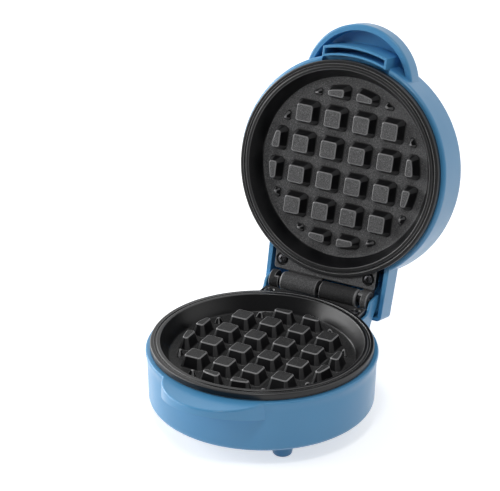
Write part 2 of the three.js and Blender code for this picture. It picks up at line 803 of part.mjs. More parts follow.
// The base housing
function baseHousing() {
  const inner = neckHalfWidth - tongueWidth;
  const innerWall = neckBackY - housingWall;
  const neckHollow = block(-inner, inner, hoodStart, innerWall, baseFloor, tabSeat - housingWall);
  const overPlate = turned([
    [0, baseTop], [baseRadius - baseEdgeRound, baseTop],
    [baseRadius - baseEdgeRound, overrun], [0, overrun],
  ], ringSegments);
  const tabSide = tabHalfWidth + seatGap;
  const tabNotch = block(-tabSide, tabSide, hoodStart, hingeReach, tabSeat, overrun);
  const outside = join(baseShell(), frontLip(), neckBox(), hoodStop(), tongues());
  const hollow = cut(outside, overPlate, tabNotch, baseHollow(), neckHollow);
  const bossTop = tabSeat;
  const hingeBosses = [-screwX, screwX].map((x) =>
    post(x, screwY, hingeBossRadius, baseFloor - overrun, bossTop));
  const postTop = plateUnder - frontBossHeight - holeGap;
  const frontPost = post(0, -frontBossReach, frontScrewPostRadius, baseFloor - overrun, postTop);
  const body = join(hollow, ...hingeBosses, frontPost);
  const shank = screwShankRadius + holeGap;
  const screwHoles = [-screwX, screwX].map((x) =>
    post(x, screwY, shank, bossTop - hingeScrewLength, overrun, screwSegments));
  const sinkTop = frontScrewSinkDepth - baseDepth;
  const under = -baseDepth - overrun;
  const footHoles = footPlaces().map(([x, y]) =>
    post(x, y, footStemRadius + holeGap, under, baseFloor + overrun));
  return cut(
    body, ...screwHoles, ...footHoles, glandHole(),
    post(0, -frontBossReach, frontScrewSinkRadius, under, sinkTop),
    post(0, -frontBossReach, shank, under, postTop + overrun, screwSegments));
}

// The feet: two on a circle under the cup, and two under the neck
function footPlaces() {
  const turn = THREE.MathUtils.degToRad(frontFootDegrees);
  const [x, y] = [frontFootReach * Math.sin(turn), -frontFootReach * Math.cos(turn)];
  return [[-x, y], [x, y], [-rearFootX, rearFootY], [rearFootX, rearFootY]];
}

// A push-in foot: a round stub below, a stem through the floor and a head above it
function foot() {
  const top = -(baseDepth + holeGap);
  const low = -(baseDepth + footHeight);
  const head = baseFloor + holeGap;
  const profile = new THREE.Path();
  profile.moveTo(0, low);
  profile.lineTo(footFlatRadius, low);
  profile.quadraticCurveTo(footBottomRadius, low, footBottomRadius, low + footRound);
  profile.lineTo(footTopRadius, top);
  profile.lineTo(footStemRadius, top);
  profile.lineTo(footStemRadius, head);
  profile.lineTo(footCollarRadius, head);
  profile.lineTo(footStemRadius - holeGap, head + footCollarHeight);
  profile.lineTo(0, head + footCollarHeight);
  return turned(profile, footSegments);
}

// The hole in the back of the neck for the cord gland
function glandHole() {
  const radius = glandSleeveRadius + glandGroove;
  const cylinder = new THREE.CylinderGeometry(radius, radius, housingWall + 2 * overrun, smallSegments);
  return toSolid(cylinder.translate(0, neckBackY - housingWall / 2, glandZ));
}

// The cord gland: a bush through the neck's back wall, with a flange at each side
function cordGland() {
  const outer = housingWall / 2 + holeGap;
  const bush = turned([
    [glandBoreRadius, -(outer + glandFlange)],
    [glandFlangeRadius, -(outer + glandFlange)],
    [glandFlangeRadius, -outer],
    [glandSleeveRadius, -outer],
    [glandSleeveRadius, outer],
    [glandFlangeRadius, outer],
    [glandFlangeRadius - glandFlange / 2, outer + glandFlange],
    [glandBoreRadius, outer + glandFlange],
  ], smallSegments);
  return bush.rotate([-90, 0, 0]).translate([0, neckBackY - housingWall / 2, glandZ]);
}

// The hinge pin
function hingePin() {
  const end = pinHalfLength;
  const pin = turned([
    [0, -end], [pinRadius - pinEndChamfer, -end], [pinRadius, pinEndChamfer - end],
    [pinRadius, end - pinEndChamfer], [pinRadius - pinEndChamfer, end], [0, end],
  ], screwSegments);
  return pin.rotate([0, 90, 0]).translate([0, hingeReach, hingeZ]);
}

// The outside of the lid's round shell
function lidShell() {
  const profile = new THREE.Path();
  profile.moveTo(0, lidEdge);
  profile.lineTo(baseRadius - baseEdgeRound, lidEdge);
  profile.quadraticCurveTo(baseRadius, lidEdge, baseRadius, lidEdge + baseEdgeRound);
  profile.lineTo(baseRadius, lidTop - lidShoulderHeight);
  profile.absellipse(lidDiscRadius, lidTop - lidShoulderHeight, lidShoulderWidth, lidShoulderHeight,
    0, Math.PI / 2, false, 0);
  profile.lineTo(0, lidTop);
  return turned(profile, ringSegments);
}

// The hollow of the lid's round shell
function lidHollow() {
  const ledgeRadius = baseRadius - baseLedge;
  const wallRadius = baseRadius - housingWall;
  const profile = new THREE.Path();
  profile.moveTo(0, lidEdge - overrun);
  profile.lineTo(ledgeRadius, lidEdge - overrun);
  profile.lineTo(ledgeRadius, lidEdge + baseLedgeDepth);
  profile.lineTo(wallRadius, lidEdge + baseLedgeDepth + baseEdgeRound);
  profile.lineTo(wallRadius, lidTop - lidShoulderHeight);
  profile.absellipse(wallRadius - lidShoulderWidth, lidTop - lidShoulderHeight,
    lidShoulderWidth, lidShoulderHeight - housingWall, 0, Math.PI / 2, false, 0);
  profile.lineTo(0, lidCeiling);
  return turned(profile, ringSegments);
}

// A disc with a round top edge and a small round bottom edge, about the handle's own centre
function handleDisc() {
  const profile = new THREE.Path();
  profile.moveTo(0, handleUnderZ);
  profile.lineTo(handleRadius - handleEdgeRound, handleUnderZ);
  profile.quadraticCurveTo(handleRadius, handleUnderZ, handleRadius, handleUnderZ + handleEdgeRound);
  profile.lineTo(handleRadius, handleTopZ - handleTopRound);
  profile.quadraticCurveTo(handleRadius, handleTopZ, handleRadius - handleTopRound, handleTopZ);
  profile.lineTo(0, handleTopZ);
  return turned(profile, ringSegments).translate([0, -handleReach, 0]);
}

// An arc-shaped block at the front between two radii, with square ends
function frontArc(innerRadius, outerRadius, halfLength, low, high) {
  const ring = turned([
    [innerRadius, low], [outerRadius, low], [outerRadius, high], [innerRadius, high],
  ], ringSegments);
  return ring.intersect(block(-halfLength, halfLength, -outerRadius - overrun, 0, low, high));
}

// The pocket that hangs down inside the handle, open below
function pocket() {
  const low = lidEdge - skirtHeight + pocketDrop;
  const high = handleCeiling + overrun;
  const walls = frontArc(pocketInnerRadius, pocketOuterRadius, pocketHalfLength, low, high);
  const slot = frontArc(pocketInnerRadius + pocketWall, pocketOuterRadius - pocketWall,
    pocketHalfLength - pocketWall, low - overrun, low + pocketDepth);
  return { walls, slot };
}

// The square hood over the hinge
function hoodOutside() {
  const plan = new THREE.Shape();
  const [side, back] = [hoodHalfWidth - hoodCornerRound, hoodBackY - hoodCornerRound];
  const root = hoodHalfWidth + hoodSpread;
  plan.moveTo(-root, hoodStart);
  plan.lineTo(root, hoodStart);
  plan.lineTo(hoodHalfWidth, back);
  plan.absarc(side, back, hoodCornerRound, 0, Math.PI / 2, false);
  plan.lineTo(-side, hoodBackY);
  plan.absarc(-side, back, hoodCornerRound, Math.PI / 2, Math.PI, false);
  const top = plateGap + hoodTop;
  const profile = new THREE.Shape();
  profile.moveTo(hoodStart, lidEdge);
  profile.lineTo(hoodBackY, lidEdge);
  profile.lineTo(hoodBackY - hoodDraft, top - hoodTopRound);
  profile.quadraticCurveTo(hoodBackY - hoodDraft, top, hoodBackY - hoodDraft - hoodTopRound, top);
  profile.lineTo(hoodStart, top);
  return raised(plan, lidEdge, top).intersect(across(profile, -root, root));
}

// The slot in the top disc, with a square end at the hinge side and a round end inward
function slotShape(margin) {
  const half = slotWidth / 2 + margin;
  const shape = new THREE.Shape();
  shape.moveTo(half, slotEnd + margin);
  shape.lineTo(-half, slotEnd + margin);
  shape.lineTo(-half, slotStart + slotWidth / 2);
  shape.absarc(0, slotStart + slotWidth / 2, half, Math.PI, Math.PI * 2, false);
  return shape;
}

// The lid housing
function lidHousing() {
  const { walls, slot } = pocket();
  const handleHollow = turned([
    [0, handleUnderZ - overrun], [handleRadius - handleWall, handleUnderZ - overrun],
    [handleRadius - handleWall, handleCeiling], [0, handleCeiling],
  ], ringSegments).translate([0, -handleReach, 0]);
  const insideShell = turned([
    [0, handleUnderZ - overrun], [baseRadius - housingWall / 2, handleUnderZ - overrun],
    [baseRadius - housingWall / 2, handleCeiling], [0, handleCeiling],
  ], ringSegments);
  const relief = frontArc(baseRadius - baseLedge - overrun, pocketInnerRadius + pocketWall / 2,
    pocketHalfLength + overrun, lidEdge - overrun, plateGap + reliefHeight);
  const hoodInner = hoodBackY - hoodWall;
  const hoodInside = across(outline([
    [hoodStart, lidEdge - overrun], [hoodInner, lidEdge - overrun], [hoodInner, lidEdge],
    [hoodInner - hoodDraft, hoodCeiling], [hoodStart, hoodCeiling],
  ]), hoodWall - hoodHalfWidth, hoodHalfWidth - hoodWall);
  const groove = turned([
    [lidDiscRadius + lidGrooveWidth / 2, lidTop + lidGrooveDepth],
    [lidDiscRadius + lidGrooveWidth / 2, lidTop],
    [lidDiscRadius, lidTop - lidGrooveDepth],
    [lidDiscRadius - lidGrooveWidth / 2, lidTop],
    [lidDiscRadius - lidGrooveWidth / 2, lidTop + lidGrooveDepth],
  ], ringSegments);
  const funnel = raised(outline([
    [-slotWidth / 2, slotEnd - overrun], [slotWidth / 2, slotEnd - overrun],
    [funnelWidth / 2, lidDiscRadius], [-funnelWidth / 2, lidDiscRadius],
  ]), lidTop - funnelDepth, lidTop + overrun);
  const handle = cut(handleDisc(), cut(handleHollow, insideShell));
  const shell = cut(join(lidShell(), handle, hoodOutside()), lidHollow(), relief, hoodInside);
  const bosses = [-screwX, screwX].map((x) =>
    post(x, screwY, hingeBossRadius, plateGap - tabUnder + seatGap, hoodCeiling + overrun));
  const screwEnd = plateGap + tabDrop - screwHeadRise + screwHeadHeight + hingeScrewLength + screwTipGap;
  const screwHoles = [-screwX, screwX].map((x) =>
    post(x, screwY, screwShankRadius + holeGap, 0, screwEnd, screwSegments));
  const body = join(shell, walls, ...bosses);
  return cut(body, slot, groove, funnel, ...screwHoles,
    raised(slotShape(0), lidCeiling - overrun, lidTop + overrun));
}

// The lens: a bar that fills the slot from below, on a flange under the disc
function indicatorLens() {
  const flangeTop = lidCeiling - holeGap;
  return join(
    raised(slotShape(-holeGap), flangeTop - overrun / 2, lidTop - lensRecess),
    raised(slotShape(lensFlange), flangeTop - lensFlangeHeight, flangeTop));
}

function indicatorLamp() {
  const z = lidCeiling - holeGap - lensFlangeHeight - holeGap - lampRadius;
  const lamp = new THREE.CapsuleGeometry(lampRadius, lampLength - 2 * lampRadius, arcSegments, screwSegments);
  return toSolid(lamp.translate(0, (slotStart + slotEnd) / 2, z));
}

// The leads: in the base they drop to the block, and in the lid they turn into the hood
function baseLead(side) {
  const start = elementEndReach + terminalLength + leadGap;
  const x = side * elementEndX;
  const blockTop = baseFloor + holeGap + blockHeight;
  return lead([
    [x, start, elementZ],
    [x, start + leadRadius * 3, elementZ - leadRadius],
    [x, start + leadRadius * 2, elementZ - elementTube * 2],
    [x, blockReach + blockWidth / 2 + leadGap, blockTop - blockHeight / 2],
  ]);
}

function lidLead(side) {
  const start = elementEndReach + terminalLength + leadGap;
  const x = side * elementEndX;
  const z = plateGap - elementZ;
  return lead([
    [x, start, z],
    [x, start + leadRadius * 3, z - leadRadius],
    [x, start + leadRadius * 6, hoodCeiling - leadRadius * 3],
  ]);
}

// A named mesh with its own material
function piece(name, solid, look) {
  const mesh = new THREE.Mesh(toGeometry(solid), new THREE.MeshStandardMaterial(look));
  mesh.name = name;
  return mesh;
}

// Put a mesh at a place
function at(mesh, x, y, z) {
  mesh.position.set(x, y, z);
  return mesh;
}

// One heated half: the casting and what is fixed to its back, drawn face up
function heatedHalf(name, shieldOpenings) {
  const half = new THREE.Group();
  half.add(piece(`${name}_grill_plate`, grillPlate(), nonStick));
  half.add(piece(`${name}_heating_element`, heatingElement(), darkSteel));
  half.add(piece(`${name}_heat_shield`, heatShield(shieldOpenings), sheetMetal));
  const upward = screw(shieldScrewLength).rotate([180, 0, 0]);
  const headUnder = shieldUnder - holeGap - screwHeadHeight;
  half.add(at(piece(`${name}_shield_screw`, upward, brightSteel), 0, 0, headUnder));
  for (const [side, x] of [["left", -screwX], ["right", screwX]]) {
    const hingeScrew = piece(`${name}_hinge_screw_${side}`, screw(hingeScrewLength), darkSteel);
    half.add(at(hingeScrew, x, screwY, screwHeadRise - tabDrop));
  }
  return half;
}

const frontPort = [-frontBossReach, frontBossRadius + holeGap];
const thermostatPort = [-thermostatReach, thermostatNeckRadius + holeGap];

// The base with all that stands in it
const base = new THREE.Group();
base.add(piece("base_housing", baseHousing(), bluePlastic));
["front_left", "front_right", "rear_left", "rear_right"].forEach((place, i) => {
  const [x, y] = footPlaces()[i];
  base.add(at(piece(`foot_${place}`, foot(), bluePlastic), x, y, 0));
});
base.add(heatedHalf("lower", [frontPort, thermostatPort]));
base.add(piece("thermostat", thermostat(), ceramic));
base.add(piece("thermal_fuse", thermalFuse(), sheetMetal));
base.add(piece("terminal_block", terminalBlock(), ceramic));
base.add(piece("lower_lead_left", baseLead(-1), leadSleeve));
base.add(piece("lower_lead_right", baseLead(1), leadSleeve));
base.add(piece("cord_gland", cordGland(), blackRubber));
base.add(piece("hinge_pin", hingePin(), darkSteel));
const caseScrew = piece("front_case_screw", screw(frontScrewLength).rotate([180, 0, 0]), brightSteel);
base.add(at(caseScrew, 0, -frontBossReach, frontScrewSinkDepth - baseDepth - holeGap - screwHeadHeight));

// The lid, drawn closed and then turned back about the hinge pin
const lid = new THREE.Group();
lid.position.set(0, -hingeReach, -hingeZ);
lid.add(piece("lid_housing", lidHousing(), bluePlastic));
lid.add(piece("indicator_lens", indicatorLens(), smokedLens));
lid.add(piece("indicator_lamp", indicatorLamp(), lampGlass));
lid.add(piece("upper_lead_left", lidLead(-1), leadSleeve));
lid.add(piece("upper_lead_right", lidLead(1), leadSleeve));
const turnedOver = heatedHalf("upper", [frontPort]);
turnedOver.rotation.y = Math.PI;
turnedOver.position.z = plateGap;
lid.add(turnedOver);

const hinge = new THREE.Group();
hinge.position.set(0, hingeReach, hingeZ);
hinge.rotation.x = -THREE.MathUtils.degToRad(openDegrees);
hinge.add(lid);

// The origin is the middle of the footprint, on the surface that the feet stand on
const waffleMaker = new THREE.Group();
waffleMaker.add(base, hinge);
waffleMaker.updateMatrixWorld(true);
const extent = new THREE.Box3().setFromObject(waffleMaker, true);
waffleMaker.position.set(0, -(extent.min.y + extent.max.y) / 2, -extent.min.z);

export default waffleMaker;
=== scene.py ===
import json
import math

import bmesh
import bpy
from mathutils import Matrix, Vector


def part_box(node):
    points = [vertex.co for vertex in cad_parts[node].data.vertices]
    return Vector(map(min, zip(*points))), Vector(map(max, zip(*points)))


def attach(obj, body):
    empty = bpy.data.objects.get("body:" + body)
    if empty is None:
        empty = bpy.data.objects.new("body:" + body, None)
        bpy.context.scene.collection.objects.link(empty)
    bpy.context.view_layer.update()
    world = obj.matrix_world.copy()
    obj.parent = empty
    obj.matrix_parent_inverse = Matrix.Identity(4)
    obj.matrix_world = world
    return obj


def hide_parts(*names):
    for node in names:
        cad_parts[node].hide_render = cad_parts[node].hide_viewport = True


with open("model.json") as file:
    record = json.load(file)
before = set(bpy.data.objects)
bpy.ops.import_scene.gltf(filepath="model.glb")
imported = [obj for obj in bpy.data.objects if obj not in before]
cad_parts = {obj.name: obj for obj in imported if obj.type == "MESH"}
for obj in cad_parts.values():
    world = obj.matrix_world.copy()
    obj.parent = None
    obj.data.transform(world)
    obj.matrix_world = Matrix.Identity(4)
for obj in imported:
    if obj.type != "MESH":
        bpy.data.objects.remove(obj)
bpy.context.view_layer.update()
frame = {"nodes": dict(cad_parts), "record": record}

# Driving sizes, in millimetres, measured from the base's axis and from the lower plate's rim
MM = 0.001
OPEN_DEGREES = 105
HINGE_REACH = 69.3
PLATE_GAP = 0.6
HINGE_Z = PLATE_GAP / 2
OVERRUN = 1.0
SEAT_GAP = 0.35
HOLE_GAP = 0.3

# Housing sizes
BASE_RADIUS = 63.5
BASE_WALL_RADIUS = 62.7
BASE_BOTTOM_RADIUS = 61.8
BASE_DEPTH = 35.3
BASE_FLARE = 3.4
BASE_FLARE_ROUND = 20.0
BASE_WALL_ROUND = 8.0
BASE_FOOT_ROUND = 3.5
WALL = 2.2
EDGE_ROUND = 1.8
LEDGE = 3.6
LEDGE_DEPTH = 3.0
LIP_RADIUS = 32.5
LIP_REACH = 45.1
LIP_FACE = 4.0
LIP_ROOT = 10.2
LIP_ROUND = 1.1
NECK_HALF = 33.4
NECK_CORNER = 1.5
NECK_BACK = 65.3
NECK_START = 42.0
NECK_BEND = 15.8
TONGUE_WIDTH = 1.55
TONGUE_RADIUS = 6.2
TONGUE_RISE = 1.9
TONGUE_FRONT = 60.0
TONGUE_CREST = 68.5
TONGUE_SWEEP = 5.5
TONGUE_BACK_DEGREES = 66
TONGUE_HOLLOW = 2.2
TONGUE_HOLLOW_DROP = 9.0
SCREW_BOSS_RADIUS = 3.6
CASE_BOSS_RADIUS = 4.6
STOP_HALF = 24.0
STOP_RISE = 3.0
FOOT_HEIGHT = 10.0
FOOT_TOP_RADIUS = 6.5
FOOT_BOTTOM_RADIUS = 5.2
FOOT_ROUND = 2.0
FOOT_FLOOR_GAP = 0.002
FOOT_SHOULDER_ROUND = 0.25
FOOT_STEM = 3.0
FOOT_COLLAR_RADIUS = 4.0
FOOT_COLLAR_TIP = 2.7
FOOT_COLLAR_HEIGHT = 2.2
FOOT_PLACES = {
    "foot_front_left": (-31.0, -34.0), "foot_front_right": (31.0, -34.0),
    "foot_rear_left": (-18.0, 57.0), "foot_rear_right": (18.0, 57.0),
}
GLAND_HEIGHT = 12.0
GLAND_BORE = 3.4
GLAND_SLEEVE = 4.8
GLAND_FLANGE_RADIUS = 7.0
GLAND_FLANGE = 2.0
GLAND_NOSE = 1
GLAND_INNER_ROUND = 0.6
GLAND_OUTER_ROUND = 0.8
SINK_RADIUS = 3.2
SINK_DEPTH = 6.0

# Grill plate sizes. The well is deeper and the studs are higher than the CAD's, as in the photograph
PLATE_RADIUS = 61.1
PLATE_BACK_RADIUS = 52.0
PLATE_BACK_ROUND = 1.0
SKIRT_HEIGHT = 4.0
SKIRT_INNER = 59.2
RIM_UNDER = 57.9
RIM_UNDER_DEPTH = 2.9
RIM_ROUND = 0.8
RIM_BAND_INNER = 58.95
RIM_BAND_DROP = 0.25
RIM_BAND_ROUND = 0.25
RIM_GROOVE_OUTER = 58.6
RIM_GROOVE_INNER = 58.0
RIM_GROOVE_DEPTH = 0.9
RIDGE_OUTER = 57.6
RIDGE_ROUND = 0.7
WELL_RADIUS = 55.75
WELL_FLOOR_RADIUS = 51.0
WELL_FLOOR_ROUND = 2.0
WELL_DEPTH = 9.5
CAST_WALL = 1.1
FRONT_BOSS_HEIGHT = 11.0
STUD_PITCH = 17.64
STUD_FOOT = 13.5
STUD_HEIGHT = 6.9
STUD_DRAFT = 2.0
STUD_CORNER = 2.5
STUD_CORNER_DRAFT = 0.17
STUD_EDGE = 0.55
STUD_EDGE_WIDTH = 0.85
STUD_FILLET = 0.7
STUD_FILLET_SINK = 1.2
STUD_ROUND_SHARE = 0.62
STUD_ROOM_STEPS = 9
STUD_ROWS = 6
STUD_RING = 46.25
STUD_RING_DRAFT = 2.1
STUD_SIDES = 84
TAB_HALF = 31.5
TAB_DROP = 1.8
TAB_THICKNESS = 4.8
TAB_START = 48.0
TAB_CORNER = 2.0
TAB_EDGE = 0.5
KNUCKLE_RADIUS = 5.25
KNUCKLE_START = 1.2
KNUCKLE_END = 23.9
KNUCKLE_CHAMFER = 1.2
KNUCKLE_ROUND = 0.4
EAR_OUTER = 30.6
EAR_INNER = 27.0
EAR_SHOULDER = 24.7
EAR_SHOULDER_BACK = 2.8
EAR_SHOULDER_RISE = 3.6
WEB_DROP = 1.0
WEB_INSET = 0.2
PIN_RADIUS = 2.0
SCREW_X = 27.0
SCREW_Y = 57.7
SCREW_SINK_RADIUS = 3.1
SCREW_RISE = 0.7
SCREW_SINK = 1.2
SCREW_SINK_DRAFT = 0.1
SCREW_SINK_FLARE = 0.7
SCREW_FLARE_DEPTH = 0.6
SCREW_SINK_MOUTH = 0.8
SCREW_HEAD = 2.6
HEAD_HEIGHT = 1.7
SCREW_HEAD_ROUND = 0.45
SCREW_HEAD_SHOULDER = 0.62
SCREW_CROWN_SHARE = 0.55
SCREW_CROWN_DROP = 0.08
SCREW_CROWN_ROUND = 1.5
SCREW_NECK_ROUND = 0.1
SCREW_SHANK = 1.5
SCREW_TIP = 1
SCREW_TIP_RADIUS = 0.7
CROSS_FLOOR = (0.7, 0.3)
CROSS_MOUTH = (1.65, 0.46)
CROSS_DEPTH = 1.25
CROSS_TURN = 0.4
SCREW_LENGTH = 10.5
CASE_SCREW_LENGTH = 14.0
CASE_SCREW_Y = -42.2

# Lid sizes
LID_HEIGHT = 31.4
SHOULDER_WIDTH = 9.75
SHOULDER_HEIGHT = 6.5
GROOVE_WIDTH = 1.7
GROOVE_DEPTH = 0.9
GROOVE_LIP = 0.55
GROOVE_FLOOR_HALF = 0.25
HANDLE_RADIUS = 33.15
HANDLE_REACH = 47.7
HANDLE_UNDER = 10.5
HANDLE_TOP = 22.4
HANDLE_WALL = 3.4
HANDLE_ROOF = 3.0
HANDLE_TOP_ROUND = 2.6
HANDLE_EDGE_ROUND = 1.2
HANDLE_HOLLOW_ROUND = 1.0
POCKET_INNER = 63.3
POCKET_OUTER = 69.1
POCKET_WALL = 1.3
POCKET_HALF = 19.7
POCKET_DROP = 1.0
POCKET_DEPTH = 15.0
RELIEF_HEIGHT = 7.0
HOOD_HALF = 36.85
HOOD_BACK = 80.8
HOOD_SPREAD = 1.15
HOOD_DRAFT = 1.6
HOOD_START = 42.0
HOOD_TOP = 17.7
HOOD_WALL = 2.0
HOOD_CORNER = 3.0
HOOD_TOP_ROUND = 1.5
HOOD_EDGE_ROUND = 0.4
HOOD_CEILING_ROUND = 0.8
HOOD_INNER_CORNER = 1.0
SLOT_WIDTH = 3.1
SLOT_START = 22.8
SLOT_END = 48.7
FUNNEL_WIDTH = 8.8
FUNNEL_DEPTH = 0.8
LENS_RECESS = 1.2
LENS_FLANGE = 1.6
LENS_FLANGE_HEIGHT = 1.2

# Sizes worked out from the sizes above
PLATE_UNDER = -(WELL_DEPTH + CAST_WALL)
BASE_TOP = -(SKIRT_HEIGHT + SEAT_GAP)
BASE_FLOOR = -(BASE_DEPTH - WALL)
TAB_UNDER = -(TAB_DROP + TAB_THICKNESS)
TAB_SEAT = TAB_UNDER - SEAT_GAP
LID_EDGE = PLATE_GAP + SKIRT_HEIGHT + SEAT_GAP
LID_TOP = PLATE_GAP + LID_HEIGHT
LID_CEILING = LID_TOP - WALL
HOOD_CEILING = PLATE_GAP + HOOD_TOP - HOOD_WALL
HANDLE_UNDER_Z = PLATE_GAP + HANDLE_UNDER
HANDLE_TOP_Z = PLATE_GAP + HANDLE_TOP
HANDLE_CEILING = HANDLE_TOP_Z - HANDLE_ROOF
KNUCKLE_FRONT = HINGE_REACH - KNUCKLE_RADIUS - PLATE_GAP
DISC_RADIUS = BASE_RADIUS - SHOULDER_WIDTH
SHANK_HOLE = SCREW_SHANK + HOLE_GAP
BOTH_SCREWS = (-SCREW_X, SCREW_X)

# Where a cutting form runs past the form that it cuts
PAST_BASE_TOP = BASE_TOP + OVERRUN
PAST_LID_EDGE = LID_EDGE - OVERRUN
PAST_LID_TOP = LID_TOP + OVERRUN

# Edge rounds that several small details share
HAIR_ROUND = 0.15
CRISP_ROUND = 0.2
FINE_ROUND = 0.3
THIN_ROUND = 0.35
PLAIN_ROUND = 0.4
SOFT_ROUND = 0.5

# Facets, and the number of steps in arcs and curves
FINE = 192
MEDIUM = 64
SMALL = 32
ROUND_STEPS = 5
LARGE_STEPS = 8
TAB_STEPS = 12
ARC_STEPS = 48
SHOULDER_STEPS = 20
TURN_STEPS = 16
SWEEP_STEPS = 14
STOP_STEPS = 10
STUD_SWEEP = 60

# Lengths and areas too small to count
TINY = 1e-6
SAME_POINT = 1e-4
SMALLEST_AREA = 1e-4

# The share of a side that a round may take, the sharpest turn that an inset follows, and shading angles
ALMOST_HALF = 0.499
SHARPEST_INSET = 0.5
SHARP_DEGREES = 32
CAD_SHARP_DEGREES = 35

# The marks on the castings: what counts as rim, level and small, how much the rim's bends count toward the
# painted edge highlights, and how much of the flats' grain and painted light the barrels take
RIM_MARGIN = 3.0
RIM_BEND = 0.35
LEVEL = 0.85
SMALL_STUD_FACE = 12
BARREL_GRAIN_AND_LIGHT = 0.7

# Where the base and the lid stand in the frame, found from the hinge pin
pin_low, pin_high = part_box("hinge_pin")
PIN = (pin_low + pin_high) / 2
TO_PIN = Matrix.Translation(PIN) @ Matrix.Scale(MM, 4)
FROM_HINGE = Matrix.Translation((0, -HINGE_REACH, -HINGE_Z))
TO_BASE = TO_PIN @ FROM_HINGE
TO_LID = TO_PIN @ Matrix.Rotation(-math.radians(OPEN_DEGREES), 4, "X") @ FROM_HINGE
TURN_OVER = Matrix.Translation((0, 0, PLATE_GAP)) @ Matrix.Rotation(math.pi, 4, "Y")


# Outlines, as lists of points
def rounded(points, closed=False, steps=ROUND_STEPS):
    """Points given as (a, b) or (a, b, round), with an arc at each corner that has a round."""
    made = []
    count = len(points)
    for i, point in enumerate(points):
        here = Vector(point[:2])
        radius = point[2] if len(point) > 2 else 0
        if not radius or (not closed and i in (0, count - 1)):
            made.append(here)
            continue
        before = Vector(points[i - 1][:2]) - here
        after = Vector(points[(i + 1) % count][:2]) - here
        half = before.angle(after) / 2
        reach = min(radius / math.tan(half), before.length * ALMOST_HALF, after.length * ALMOST_HALF)
        radius = reach * math.tan(half)
        middle = here + (before.normalized() + after.normalized()).normalized() * (radius / math.sin(half))
        first = here + before.normalized() * reach - middle
        last = here + after.normalized() * reach - middle
        turn = first.angle_signed(last)
        for step in range(steps + 1):
            made.append(middle + Matrix.Rotation(-turn * step / steps, 2) @ first)
    return made


def arc(a, b, radius, start, end, steps):
    """Points of an arc, with angles in degrees."""
    turns = [math.radians(start + (end - start) * step / steps) for step in range(steps + 1)]
    return [Vector((a + radius * math.cos(t), b + radius * math.sin(t))) for t in turns]


def bezier(points, steps):
    """Points of a Bezier curve of any order."""
    made = []
    for step in range(steps + 1):
        t = step / steps
        level = [Vector(p) for p in points]
        while len(level) > 1:
            level = [p.lerp(q, t) for p, q in zip(level, level[1:])]
        made.append(level[0])
    return made


def inset(points, distance):
    """A closed outline moved inwards, counted anticlockwise."""
    made = []
    for i, point in enumerate(points):
        a = (point - points[i - 1]).normalized()
        b = (points[(i + 1) % len(points)] - point).normalized()
        normal = Vector((-(a.y + b.y), a.x + b.x))
        if normal.length < TINY:
            normal = Vector((-a.y, a.x))
        normal.normalize()
        share = max(SHARPEST_INSET, normal.dot(Vector((-b.y, b.x))))
        made.append(point + normal * (distance / share))
    return made


def plan(front_half, front, back_half, back, corner=0.0, steps=ROUND_STEPS):
    """A four-sided outline, symmetrical about Y, with its corners at the back rounded."""
    return rounded([(-front_half, front), (front_half, front), (back_half, back, corner),
                    (-back_half, back, corner)], closed=True, steps=steps)


def distinct(points):
    """An outline without points that repeat."""
    kept = [p for i, p in enumerate(points) if (p - points[i - 1]).length > SAME_POINT]
    area = sum(p.x * q.y - q.x * p.y for p, q in zip(kept, kept[1:] + kept[:1]))
    return kept if area > 0 else kept[::-1]


# Solids, as Blender objects in millimetres
def solid(vertices, faces):
    mesh = bpy.data.meshes.new("solid")
    mesh.from_pydata(vertices, [], faces)
    made = bmesh.new()
    made.from_mesh(mesh)
    bmesh.ops.recalc_face_normals(made, faces=made.faces)
    made.to_mesh(mesh)
    made.free()
    obj = bpy.data.objects.new("solid", mesh)
    bpy.context.scene.collection.objects.link(obj)
    return obj


def lathe(profile, segments=FINE):
    """A profile of radius and height turned about the vertical axis."""
    profile = [Vector(p) for p in profile]
    closed = profile[0].x > TINY or profile[-1].x > TINY
    vertices, rings, faces = [], [], []
    for point in profile:
        if point.x < TINY:
            rings.append([len(vertices)] * segments)
            vertices.append((0, 0, point.y))
            continue
        rings.append(list(range(len(vertices), len(vertices) + segments)))
        for i in range(segments):
            turn = 2 * math.pi * i / segments
            vertices.append((point.x * math.cos(turn), point.x * math.sin(turn), point.y))
    pairs = list(zip(rings, rings[1:])) + ([(rings[-1], rings[0])] if closed else [])
    for low, high in pairs:
        for i in range(segments):
            j = (i + 1) % segments
            corners = [low[i], low[j], high[j], high[i]]
            face = [c for k, c in enumerate(corners) if c not in corners[:k]]
            if len(face) > 2:
                faces.append(face)
    return solid(vertices, faces)


def stack(rings, heights):
    """A solid through outlines of the same number of points, one above the other."""
    count = len(rings[0])
    vertices = [(p.x, p.y, z) for ring, z in zip(rings, heights) for p in ring]
    faces = [list(range(count))[::-1], [len(vertices) - count + i for i in range(count)]]
    for level in range(len(rings) - 1):
        for i in range(count):
            j = (i + 1) % count
            low, high = level * count, (level + 1) * count
            faces.append([low + i, low + j, high + j, high + i])
    return solid(vertices, faces)


def slab(outline, low, high, low_round=0.0, high_round=0.0):
    """A plan outline raised from one height to another, with round edges where asked."""
    outline = distinct([Vector(p) for p in outline])
    rings, heights = [], []
    for edge, start, sign in ((low_round, low, 1), (high_round, high, -1)):
        levels = []
        for step in range(ROUND_STEPS + 1 if edge else 1):
            turn = math.pi / 2 * step / ROUND_STEPS
            levels.append((edge * (1 - math.sin(turn)), start + sign * edge * (1 - math.cos(turn))))
        for distance, height in levels if sign == 1 else levels[::-1]:
            rings.append(inset(outline, distance) if distance > TINY else outline)
            heights.append(height)
    return stack(rings, heights)


def block(x0, x1, y0, y1, z0, z1):
    return slab([(x0, y0), (x1, y0), (x1, y1), (x0, y1)], z0, z1)


def post(x, y, radius, low, high, segments=MEDIUM):
    return moved(lathe([(0, low), (radius, low), (radius, high), (0, high)], segments), x, y, 0)


